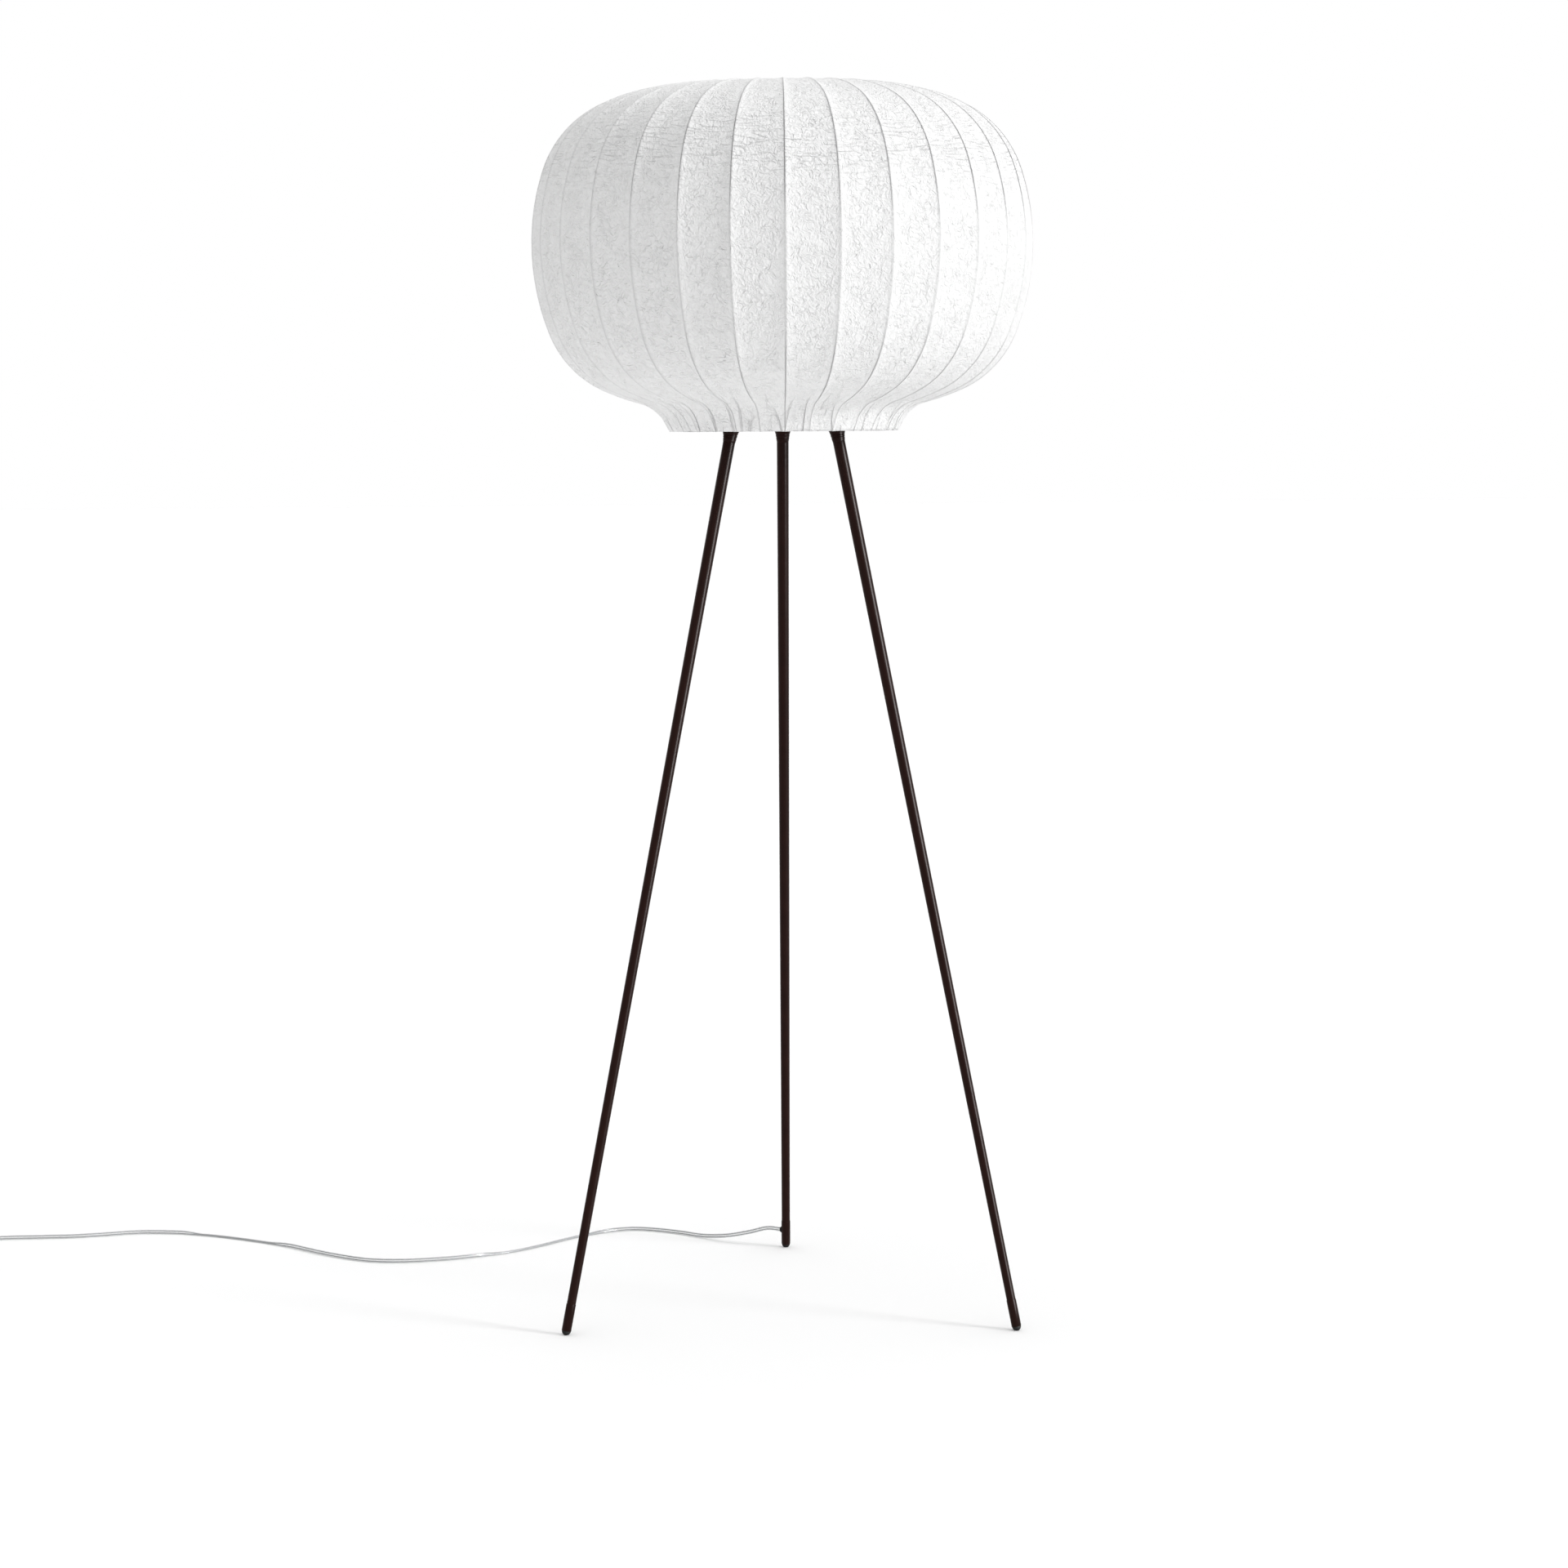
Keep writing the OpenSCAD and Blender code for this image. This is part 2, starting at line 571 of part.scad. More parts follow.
// --- Legs: everything on a leg is drawn upright and then set on the leg's line ---
module on_leg(turn) {
    rotate([0, 0, turn]) translate([0, foot_circle_r, tip_h]) rotate([leg_lean, 0, 0]) children();
}
module leg_socket(turn) {
    tube_r = leg_top_d / 2;
    lip_r = socket_lip_d / 2;
    // The tilted and the upright bore run this far past the point where they meet
    overrun = 4;
    color(leg_brown) difference() {
        union() {
            difference() {
                on_leg(turn) union() {
                    translate([0, 0, leg_top_s - spigot_len]) cylinder(h = spigot_len + 1, r = spigot_r);
                    translate([0, 0, leg_top_s]) cylinder(h = socket_len + 4, r1 = tube_r + 0.2, r2 = lip_r);
                }
                translate([-foot_circle_r, -foot_circle_r, rim_h - socket_lip_h / 2])
                    cube([2 * foot_circle_r, 2 * foot_circle_r, socket_len * 2]);
            }
            rotate([0, 0, turn]) translate([0, socket_circle_r, rim_h - socket_lip_h]) {
                cylinder(h = socket_lip_h, r = lip_r);
                cylinder(h = stud_top - rim_h + socket_lip_h, r = stud_r);
            }
        }
        on_leg(turn) translate([0, 0, leg_top_s - spigot_len - past])
            cylinder(h = spigot_len + socket_len + overrun + past, r = lead_bore_r);
        rotate([0, 0, turn]) translate([0, socket_circle_r, rim_h - overrun])
            cylinder(h = stud_top - rim_h + overrun + past, r = lead_bore_r + 0.1);
    }
}
module leg_socket_left() {
    leg_socket(leg_turns[0][1]);
}
module leg_socket_right() {
    leg_socket(leg_turns[1][1]);
}
module leg_socket_back() {
    leg_socket(leg_turns[2][1]);
}
module hex_nut(af, h, bore_r) {
    difference() {
        cylinder(h = h, d = af / cos(30), $fn = 6);
        translate([0, 0, -past]) cylinder(h = h + 2 * past, r = bore_r);
    }
}
module socket_nuts() {
    color(zinc_grey) at_legs()
        translate([0, socket_circle_r, plate_top]) hex_nut(nut_af, nut_h, stud_r + fit_gap);
}
module leg(turn) {
    color(leg_brown) on_leg(turn) rotate_extrude() polygon([
        [leg_foot_bore_r, sleeve_len], [leg_foot_d / 2, sleeve_len],
        [leg_top_d / 2, leg_top_s], [leg_top_bore_r, leg_top_s]
    ]);
}
module leg_left() {
    leg(leg_turns[0][1]);
}
module leg_right() {
    leg(leg_turns[1][1]);
}
module leg_back() {
    leg(leg_turns[2][1]);
}
// A point on the line of the back leg, where the cord turns out of it
module at_exit() {
    translate([0, exit_y, exit_h]) rotate([0, 90, exit_heading]) children();
}
module foot_sleeve(turn) {
    on_leg(turn) difference() {
        union() {
            cylinder(h = sleeve_len, d = sleeve_d);
            cylinder(h = sleeve_len + sleeve_spigot_len, r = sleeve_spigot_r);
        }
        translate([0, 0, -past])
            cylinder(h = sleeve_len + sleeve_spigot_len + 2 * past, r = sleeve_bore_r);
    }
}
module foot_sleeve_left() {
    color(leg_brown) foot_sleeve(leg_turns[0][1]);
}
module foot_sleeve_right() {
    color(leg_brown) foot_sleeve(leg_turns[1][1]);
}
module foot_sleeve_back() {
    color(leg_brown) difference() {
        foot_sleeve(leg_turns[2][1]);
        at_exit() cylinder(h = sleeve_d, r = bush_r + fit_gap);
    }
}
module foot_tip(turn) {
    stem = 8;
    color("black") difference() {
        on_leg(turn) {
            intersection() {
                sphere(d = tip_d);
                translate([0, 0, -tip_r]) cube([2 * tip_d, 2 * tip_d, tip_d], center = true);
            }
            translate([0, 0, -tip_r / 2]) cylinder(h = stem + tip_r / 2, r = sleeve_bore_r - fit_gap);
        }
        rotate([0, 0, turn]) translate([0, foot_circle_r, -tip_r]) cube(2 * tip_r, center = true);
    }
}
module foot_tip_left() {
    foot_tip(leg_turns[0][1]);
}
module foot_tip_right() {
    foot_tip(leg_turns[1][1]);
}
module foot_tip_back() {
    foot_tip(leg_turns[2][1]);
}

// --- Stem and lampholder ---
// Three screws stand between the arms, on the flange
module at_flange_screws() {
    for (a = [30, 150, 270]) rotate([0, 0, a]) translate([flange_screw_circle, 0, 0]) children();
}
module stem_flange() {
    boss_wall = 3;
    color(leg_brown) difference() {
        translate([0, 0, plate_top]) union() {
            cylinder(h = flange_h / 2, r = flange_r);
            cylinder(h = flange_h, r = stem_r + boss_wall);
        }
        translate([0, 0, plate_top + stem_seat]) cylinder(h = flange_h, r = stem_r + fit_gap);
        at_flange_screws() translate([0, 0, plate_top - past])
            cylinder(h = flange_h + 2 * past, r = flange_screw_r + fit_gap);
    }
}
module flange_screws() {
    color(zinc_grey) at_flange_screws() translate([0, 0, plate_top + flange_h / 2])
        screw(flange_screw_d, flange_h / 2 + plate_t, 1.8 * flange_screw_d, flange_screw_d * 0.6);
}
module stem_tube() {
    bottom = plate_top + stem_seat;
    color(leg_brown) difference() {
        translate([0, 0, bottom]) cylinder(h = stem_top - bottom, r = stem_r);
        translate([0, 0, bottom - past]) cylinder(h = stem_top - bottom + 2 * past, r = stem_bore_r);
        translate([0, 0, lead_cross_h]) rotate([-90, 0, 0]) cylinder(h = stem_d, r = stem_bore_r);
    }
}
module stem_nut() {
    af = stem_d + 5;
    color(zinc_grey) translate([0, 0, cap_floor + holder_wall]) hex_nut(af, nut_h, stem_r + fit_gap);
}
module holder_cap() {
    // The lower edge is bevelled, less deep than it is high
    bevel = [4, 5];
    color(holder_black) rotate_extrude() polygon([
        [stem_r + fit_gap, cap_floor], [holder_r - bevel.x, cap_floor], [holder_r, cap_floor + bevel.y],
        [holder_r, cap_top - slide_gap], [holder_r - holder_wall, cap_top - slide_gap],
        [holder_r - holder_wall, cap_floor + bevel.y + 1], [holder_r - bevel.x - 1, cap_floor + holder_wall],
        [stem_r + fit_gap, cap_floor + holder_wall]
    ]);
}
module holder_insert() {
    color("white") difference() {
        translate([0, 0, insert_bottom]) cylinder(h = insert_top - insert_bottom, r = insert_r);
        translate([0, 0, insert_bottom - past])
            cylinder(h = lead_in_insert + 1 + past, r = lead_r + slide_gap);
    }
}
module holder_skirt() {
    roof_t = 3;
    color(holder_black) difference() {
        translate([0, 0, cap_top]) cylinder(h = holder_skirt_h, r = holder_r);
        translate([0, 0, cap_top - past])
            cylinder(h = holder_skirt_h - roof_t + past, r = holder_r - holder_wall);
        cylinder(h = skirt_top + past, r = shell_r + slide_gap);
    }
}
// A dish-shaped ring, screwed on the skirt below its upper edge
module holder_ring() {
    below_top = 12;
    floor_t = 2;
    wall = 2.5;
    bottom = skirt_top - holder_ring_h - below_top;
    color(holder_black) difference() {
        translate([0, 0, bottom]) cylinder(h = holder_ring_h, d = holder_ring_d);
        translate([0, 0, bottom + floor_t]) cylinder(h = holder_ring_h, d = holder_ring_d - 2 * wall);
        translate([0, 0, bottom - past]) cylinder(h = holder_ring_h + 2 * past, r = holder_r + fit_gap);
    }
}
module screw_shell() {
    floor_hole_r = 8;
    color(brass_tone) difference() {
        translate([0, 0, insert_top]) cylinder(h = shell_h, r = shell_r);
        translate([0, 0, insert_top + shell_t]) cylinder(h = shell_h, r = shell_r - shell_t);
        translate([0, 0, insert_top - past]) cylinder(h = 3 * past, r = floor_hole_r);
    }
}
// A springy strip: a foot on the insert and a raised tongue under the bulb's tip
module centre_contact() {
    foot = [7, 5, contact_t];
    color(brass_tone) translate([0, 0, insert_top]) {
        translate([-foot.x, -foot.y / 2, 0]) cube(foot);
        translate([-foot.x, -foot.y / 2, 0]) cube([contact_t, foot.y, contact_rise + contact_t]);
        translate([-foot.x, -foot.y / 2, contact_rise]) cube([2 * foot.x - 3, foot.y, contact_t]);
    }
}

// --- Bulb ---
module bulb_contact() {
    color("dimgray") translate([0, 0, bulb_tip_h]) rotate_extrude()
        polygon([[0, 0], [4, 0], [5, 0.8], [10, bulb_tip_t], [0, bulb_tip_t]]);
}
// Rolled thread: rounded ridges up a thin straight cap
module bulb_screw_cap() {
    ridge = 0.9;
    pitch = 3.6;
    color(zinc_grey) translate([0, 0, bulb_base_h]) rotate_extrude() {
        square([screw_r - ridge, screw_h]);
        for (k = [1:5]) translate([screw_r - ridge, k * pitch]) circle(ridge, $fn = 24);
    }
}
module bulb_collar() {
    color(plastic_white) rotate_extrude() polygon([
        [0, collar_base_h], [screw_r + fit_gap, collar_base_h], [screw_r + fit_gap, collar_base_h + 3],
        [bulb_neck_r, collar_top_h], [0, collar_top_h]
    ]);
}
module bulb_outline(inset) {
    r = globe_r - inset;
    neck_r = bulb_neck_r - inset;
    intersection() {
        translate([0, globe_h]) circle(r, $fn = 128);
        translate([0, collar_top_h]) square([r, 2 * r]);
    }
    translate([0, collar_top_h]) square([neck_r, globe_h - collar_top_h]);
}
module bulb_globe() {
    color("white") rotate_extrude($fn = 96) difference() {
        bulb_outline(0);
        bulb_outline(globe_wall);
    }
}

// --- Cord inside the lamp ---
module inner_lead() {
    bend_c = [0, socket_circle_r - lead_bend_r, lead_bend_h];
    color(cord_grey) tube(concat(
        [exit_point, [0, exit_y, exit_h], [0, socket_circle_r, rim_h]],
        [for (a = [0:30:90]) bend_c + lead_bend_r * [0, cos(a), sin(a)]],
        [[0, 0, lead_cross_h], [0, 0, insert_bottom + lead_in_insert]]
    ), lead_r, 12, [2, 1, 0]);
}
module cord_bush() {
    color("black") difference() {
        at_exit() {
            translate([0, 0, lead_r + 1]) cylinder(h = bush_face - lead_r - 1, r = bush_r);
            translate([0, 0, bush_face - bush_flange_t]) cylinder(h = bush_flange_t, r = bush_flange_r);
        }
        at_exit() cylinder(h = bush_face + past, r = lead_r + fit_gap);
    }
}

// --- Free cord ---
module cord_run() {
    color(cord_grey) tube(route(run_points, 2), lead_r, 8);
}
module cord_link() {
    color(cord_grey) tube(route(link_points, 1), lead_r, 8);
}
module cord_coil() {
    color(cord_grey) tube(coil_line, lead_r, 6);
}
module cord_end() {
    color(cord_grey) tube(route(end_points, 1), lead_r, 8);
}
// A flat strap round the bundle of turns, on its right-hand side
module rounded_rect(w, h, r) {
    translate([r, 0]) square([w - 2 * r, h]);
    translate([0, r]) square([w, h - 2 * r]);
    for (x = [r, w - r]) for (y = [r, h - r]) translate([x, y]) circle(r);
}
module cord_tie() {
    strap_t = 0.8;
    strap_w = 9;
    ring_in = coil_r - coil_step * coil_turns / 2 - lead_r - slide_gap;
    ring_out = coil_r - coil_step / 2 + lead_r + slide_gap;
    low = coil_z - lead_r - 0.2;
    high = coil_z + layer_step + lead_r + 0.2;
    color("dimgray") translate([coil_c.x, coil_c.y + strap_w / 2, 0])
        rotate([90, 0, 0]) linear_extrude(strap_w) difference() {
            translate([ring_in - strap_t, low - strap_t])
                rounded_rect(ring_out - ring_in + 2 * strap_t, high - low + 2 * strap_t, 2);
            translate([ring_in, low]) rounded_rect(ring_out - ring_in, high - low, 1.2);
        }
}

// --- Foot switch: a pebble with straight sides and round ends ---
module half_profile(inset, foot) {
    r = switch_edge_r - inset;
    w = switch_w / 2 - inset;
    top = switch_h - inset;
    translate([0, foot]) square([w, top - r - foot]);
    translate([0, foot]) square([w - r, top - foot]);
    translate([w - r, top - r]) circle(r);
}
module pebble(inset, foot) {
    for (end = [-1, 1]) translate([0, end * switch_straight / 2, 0])
        rotate([0, 0, end > 0 ? 0 : 180]) rotate_extrude(angle = 180) half_profile(inset, foot);
    rotate([90, 0, 0]) linear_extrude(switch_straight, center = true) {
        half_profile(inset, foot);
        mirror([1, 0]) half_profile(inset, foot);
    }
}
module at_switch() {
    translate([switch_c.x, switch_c.y, 0]) children();
}
module at_switch_screws() {
    for (s = [-1, 1]) translate([s * screw_spot.x, s * screw_spot.y, 0]) children();
}
module stadium(w, straight) {
    square([w, straight], center = true);
    for (s = [-1, 1]) translate([0, s * straight / 2]) circle(w / 2);
}
module switch_base() {
    inner_w = switch_w - 2 * switch_wall - 2 * fit_gap;
    color(plastic_white) at_switch() difference() {
        linear_extrude(base_t) stadium(inner_w, switch_straight);
        at_switch_screws() {
            translate([0, 0, -past]) cylinder(h = base_t + 2 * past, r = switch_screw_r + slide_gap);
            translate([0, 0, -past])
                cylinder(h = head_depth + screw_head_t + fit_gap + past, r = screw_head_r + 2 * fit_gap);
        }
    }
}
module switch_housing() {
    screw_boss_r = 3;
    color(plastic_white) at_switch() difference() {
        union() {
            difference() {
                pebble(0, 0);
                pebble(switch_wall, -past);
            }
            at_switch_screws() translate([0, 0, base_t + fit_gap])
                cylinder(h = roof_h - base_t, r = screw_boss_r);
        }
        cylinder(h = switch_h + past, r = button_r + slide_gap);
        at_switch_screws() translate([0, 0, base_t])
            cylinder(h = switch_screw_len, r = switch_screw_r + fit_gap);
        translate([0, 0, cord_entry_h]) rotate([90, 0, 0])
            cylinder(h = switch_len + 2 * past, r = boot_neck_r + 2 * fit_gap, center = true);
    }
}
module switch_button() {
    edge = [1.6, 1.2];
    edge_h = switch_h + button_rise - edge.y;
    color("gray") at_switch() difference() {
        union() {
            translate([0, 0, button_flange_h]) cylinder(h = button_flange_t, r = button_flange_r);
            translate([0, 0, button_flange_h]) cylinder(h = edge_h - button_flange_h, r = button_r);
            translate([0, 0, edge_h]) cylinder(h = edge.y, r1 = button_r, r2 = button_r - edge.x);
        }
        translate([0, 0, button_flange_h - past]) cylinder(h = button_flange_t + past, r = spring_r + 1);
    }
}
module switch_spring() {
    top = button_flange_top - fit_gap;
    color(zinc_grey) at_switch() translate([0, 0, spring_foot]) difference() {
        cylinder(h = top - spring_foot, r = spring_r);
        translate([0, 0, -past]) cylinder(h = top - spring_foot + 2 * past, r = spring_r - 1);
    }
}
module switch_block() {
    block = [20, 26, block_h];
    color(holder_black) at_switch()
        translate([-block.x / 2, -block.y / 2, base_t]) cube(block);
}
module switch_boots() {
    shoulder = boot_root + 1.5;
    color(plastic_white) at_switch() for (s = [0, 180]) rotate([0, 0, s])
        translate([0, 0, cord_entry_h]) rotate([-90, 0, 0]) {
            translate([0, 0, switch_len / 2 - boot_neck_len])
                cylinder(h = boot_neck_len + 2, r = boot_neck_r);
            translate([0, 0, boot_root]) cylinder(h = shoulder - boot_root, r = boot_root_r);
            translate([0, 0, shoulder]) cylinder(h = boot_tip - shoulder, r1 = boot_root_r, r2 = boot_tip_r);
        }
}
module switch_screws() {
    color(zinc_grey) at_switch() at_switch_screws() {
        translate([0, 0, head_depth]) cylinder(h = screw_head_t, r = screw_head_r);
        translate([0, 0, head_depth]) cylinder(h = switch_screw_len, r = switch_screw_r);
    }
}

// --- Plug: flat two-pin body, pins towards -Y ---
module plug_body() {
    back_w = 14;
    corner = 3;
    color(plastic_white) translate([plug_c.x, plug_c.y, 0]) difference() {
        union() {
            linear_extrude(plug_t) {
                translate([-back_w / 2, -8]) square([back_w, 8]);
                polygon([
                    [-back_w / 2, -6], [-plug_w / 2, -16], [-plug_w / 2, -plug_len + corner],
                    [-plug_w / 2 + corner, -plug_len], [plug_w / 2 - corner, -plug_len],
                    [plug_w / 2, -plug_len + corner], [plug_w / 2, -16], [back_w / 2, -6]
                ]);
            }
            translate([0, -1, plug_t / 2]) rotate([-90, 0, 0])
                cylinder(h = plug_boot_len + 1, r1 = 6, r2 = boot_tip_r);
        }
        for (s = [-1, 1]) translate([s * pin_gap / 2, -plug_len - past, plug_t / 2]) rotate([-90, 0, 0])
            cylinder(h = pin_root + past, r = pin_d / 2 + 0.02);
    }
}
module plug_pins() {
    tip = 1.2;
    color(zinc_grey) translate([plug_c.x, plug_c.y - plug_len, plug_t / 2])
        for (s = [-1, 1]) translate([s * pin_gap / 2, 0, 0]) rotate([90, 0, 0]) {
            translate([0, 0, -pin_root]) cylinder(h = pin_len - tip + pin_root, d = pin_d);
            translate([0, 0, pin_len - tip]) cylinder(h = tip, d1 = pin_d, d2 = pin_d - 1.6);
        }
}

shade_skin();
shade_ribs();
top_ring();
rim_ring();
rim_clips();
clip_screws();
hub_plate();
leg_socket_left();
leg_socket_right();
leg_socket_back();
socket_nuts();
leg_left();
leg_right();
leg_back();
foot_sleeve_left();
foot_sleeve_right();
foot_sleeve_back();
foot_tip_left();
foot_tip_right();
foot_tip_back();
stem_flange();
flange_screws();
stem_tube();
stem_nut();
holder_cap();
holder_insert();
holder_skirt();
holder_ring();
screw_shell();
centre_contact();
bulb_contact();
bulb_screw_cap();
bulb_collar();
bulb_globe();
inner_lead();
cord_bush();
cord_run();
cord_link();
cord_coil();
cord_end();
cord_tie();
switch_base();
switch_housing();
switch_button();
switch_spring();
switch_block();
switch_boots();
switch_screws();
plug_body();
plug_pins();
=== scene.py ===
"""A floor lamp: a ribbed paper lantern on three tapered steel legs, with its lead on the floor."""
import math

import bmesh
import bpy
import numpy as np
from mathutils import Matrix, Vector, noise


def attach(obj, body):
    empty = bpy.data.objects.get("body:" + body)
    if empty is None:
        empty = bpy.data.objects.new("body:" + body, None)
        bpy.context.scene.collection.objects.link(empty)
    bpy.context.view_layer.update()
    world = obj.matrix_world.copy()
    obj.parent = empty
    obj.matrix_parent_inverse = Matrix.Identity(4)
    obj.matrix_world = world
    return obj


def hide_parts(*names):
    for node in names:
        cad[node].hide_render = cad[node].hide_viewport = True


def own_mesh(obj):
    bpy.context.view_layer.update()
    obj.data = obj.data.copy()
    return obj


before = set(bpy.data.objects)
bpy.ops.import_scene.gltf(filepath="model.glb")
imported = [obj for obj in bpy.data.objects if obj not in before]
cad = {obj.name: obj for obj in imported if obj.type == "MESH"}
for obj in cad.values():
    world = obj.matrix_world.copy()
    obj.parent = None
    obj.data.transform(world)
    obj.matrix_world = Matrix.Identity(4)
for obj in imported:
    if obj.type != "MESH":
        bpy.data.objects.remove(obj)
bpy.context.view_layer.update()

# --- The studio -------------------------------------------------------------------------------
# A white sweep, seen through a long lens from a little above the height of the lantern's rim. A
# fairly hard light stands on the right, a broad soft one hangs above, a weak one comes off the
# backdrop on the left, and the white room fills in the rest.
scene = bpy.context.scene
scene.view_settings.view_transform = "Standard"
image_px = 1920
focal_px = 4636
sensor_mm = 36
camera_place = (-0.0640, -4.5846, 1.094)
camera_pitch = 5.627
camera_turn = 0.77
camera_roll = 0.406
lens = bpy.data.cameras.new("studio_camera")
lens.sensor_width = sensor_mm
lens.lens = focal_px / image_px * sensor_mm
camera = bpy.data.objects.new("studio_camera", lens)
scene.collection.objects.link(camera)
look = (
    Matrix.Rotation(math.radians(-camera_turn), 4, "Z")
    @ Matrix.Rotation(math.radians(90 - camera_pitch), 4, "X")
    @ Matrix.Rotation(math.radians(-camera_roll), 4, "Z")
)
camera.matrix_world = Matrix.Translation(camera_place) @ look
scene.camera = camera


def linear(code):
    """An sRGB hex colour as linear red, green, blue and alpha."""
    parts = [int(code[i : i + 2], 16) / 255 for i in (1, 3, 5)]
    return [c / 12.92 if c <= 0.04045 else ((c + 0.055) / 1.055) ** 2.4 for c in parts] + [1.0]


def add(tree, kind, inputs=(), **settings):
    """One node with its settings, and with values or other nodes' sockets on its inputs."""
    made = tree.nodes.new(kind)
    for name, value in settings.items():
        setattr(made, name, value)
    for name, value in dict(inputs).items():
        if isinstance(value, bpy.types.NodeSocket):
            tree.links.new(value, made.inputs[name])
        else:
            made.inputs[name].default_value = value
    return made


def start_material(name):
    """An empty material, its node tree and its output node."""
    material = bpy.data.materials.new(name)
    material.use_nodes = True
    material.node_tree.nodes.clear()
    return material, material.node_tree, material.node_tree.nodes.new("ShaderNodeOutputMaterial")


def seen_directly(tree):
    """1 for rays that show the surface itself: from the camera, in a mirror or through glass."""
    path = add(tree, "ShaderNodeLightPath")
    either = add(tree, "ShaderNodeMath", {
        0: path.outputs["Is Camera Ray"], 1: path.outputs["Is Glossy Ray"]}, operation="MAXIMUM")
    return add(tree, "ShaderNodeMath", {
        0: either.outputs[0],
        1: path.outputs["Is Transmission Ray"]}, operation="MAXIMUM").outputs[0]


room = bpy.data.worlds.new("white_room")
room.use_nodes = True
scene.world = room
tree = room.node_tree
tree.nodes.clear()
fill_light = 0.66
direct = seen_directly(tree)
strength = add(tree, "ShaderNodeMapRange", {"Value": direct, "To Min": fill_light, "To Max": 1.0})
sky = add(tree, "ShaderNodeBackground", {"Color": (1, 1, 1, 1), "Strength": strength.outputs[0]})
add(tree, "ShaderNodeOutputWorld", {"Surface": sky.outputs[0]})

# The floor is matt white. What the camera sees of it is lifted to paper white, and keeps shadows.
floor_mesh = bpy.data.meshes.new("sweep")
sweep_half = 40
corners = ((-1, -1), (1, -1), (1, 1), (-1, 1))
sweep_corners = [(x * sweep_half, y * sweep_half, 0) for x, y in corners]
floor_mesh.from_pydata(sweep_corners, [], [(0, 1, 2, 3)])
floor = bpy.data.objects.new("sweep", floor_mesh)
scene.collection.objects.link(floor)
floor_paint, tree, out = start_material("matt_white_floor_paint")
floor_lift = 0.015
matt = add(tree, "ShaderNodeBsdfDiffuse", {"Color": linear("#F8F8F8")})
lift = add(tree, "ShaderNodeMath", {0: seen_directly(tree), 1: floor_lift}, operation="MULTIPLY")
glow = add(tree, "ShaderNodeEmission", {"Color": (1, 1, 1, 1), "Strength": lift.outputs[0]})
both = add(tree, "ShaderNodeAddShader", {0: matt.outputs[0], 1: glow.outputs[0]})
tree.links.new(both.outputs[0], out.inputs["Surface"])
floor_mesh.materials.append(floor_paint)


def lamp(name, toward, strength, soft_degrees):
    """A far light that shines along the direction toward."""
    light = bpy.data.lights.new(name, "SUN")
    light.energy = strength
    light.angle = math.radians(soft_degrees)
    holder = bpy.data.objects.new(name, light)
    holder.rotation_euler = Vector(toward).to_track_quat("-Z", "Y").to_euler()
    scene.collection.objects.link(holder)


lamp("right_softbox", (-0.90, 0.42, -0.34), 1.53, 13)
lamp("top_softbox", (-0.20, 0.05, -1.0), 0.84, 70)
lamp("backdrop_spill", (0.60, -0.80, -0.10), 0.40, 50)


def panel(name, size, strength, place, toward):
    """A flat light of this width and height at a place, which shines along the direction toward."""
    light = bpy.data.lights.new(name, "AREA")
    light.shape = "RECTANGLE"
    light.size, light.size_y = size
    light.energy = strength
    holder = bpy.data.objects.new(name, light)
    holder.location = place
    holder.rotation_euler = Vector(toward).to_track_quat("-Z", "Y").to_euler()
    holder.visible_camera = holder.visible_transmission = False
    scene.collection.objects.link(holder)
    return holder


# A white card on the floor under the lantern sends light back up to its underside.
floor_card = panel("floor_card", (2.0, 2.0), 2.4, (0, 0, 0.004), (0, 0, 1))
floor_card.visible_glossy = False
# A tall strip light by the right softbox gives the legs their long streak. It shows in gloss only.
strip_light = panel("strip_light", (1.1, 3.4), 500, (2.7, -1.5, 1.2), (-0.88, 0.48, -0.10))
strip_light.visible_diffuse = False

# --- The mains lead ---------------------------------------------------------------------------
# Two tinned copper wires side by side in a clear PVC sheath, 6 mm by 3.2 mm. It comes out of the
# back leg, lies on the floor in a long wave, and turns from flat to edge and back as it goes.
MM = 0.001
cord_w = 6.1 * MM
core_r = 1.6 * MM
wire_r = 0.72 * MM
core_off = cord_w / 2 - core_r


def spline(points, steps):
    """A smooth curve through the points, as many steps to each stretch."""
    p = [Vector(q) for q in points]
    line = []
    for i in range(len(p) - 1):
        a = p[i - 1] if i else 2 * p[0] - p[1]
        d = p[i + 2] if i < len(p) - 2 else 2 * p[-1] - p[-2]
        b, c = p[i], p[i + 1]
        for k in range(steps):
            t = k / steps
            line.append(0.5 * (2 * b + (c - a) * t + (2 * a - 5 * b + 4 * c - d) * t * t
                               + (3 * b - a - 3 * c + d) * t ** 3))
    return line + [p[-1]]


def ahead_at(line, i):
    """The way a line of points runs at one of them."""
    return (line[min(i + 1, len(line) - 1)] - line[max(i - 1, 0)]).normalized()


def circle(radius, sides, middle=0.0):
    """Points (sideways, upwards) round a circle, whose middle may stand off to one side."""
    turns = [math.tau * k / sides for k in range(sides)]
    return [(middle + radius * math.cos(a), radius * math.sin(a)) for a in turns]


def skin_over(rings):
    """The vertices and faces of a solid over a row of rings, which all have as many points."""
    n = len(rings[0])
    verts = [point for ring in rings for point in ring]
    faces = []
    for start in range(0, len(verts) - n, n):
        for k in range(n):
            a, b = start + k, start + (k + 1) % n
            faces.append((a, b, b + n, a + n))
    faces += [tuple(range(n - 1, -1, -1)), tuple(range(len(verts) - n, len(verts)))]
    return verts, faces


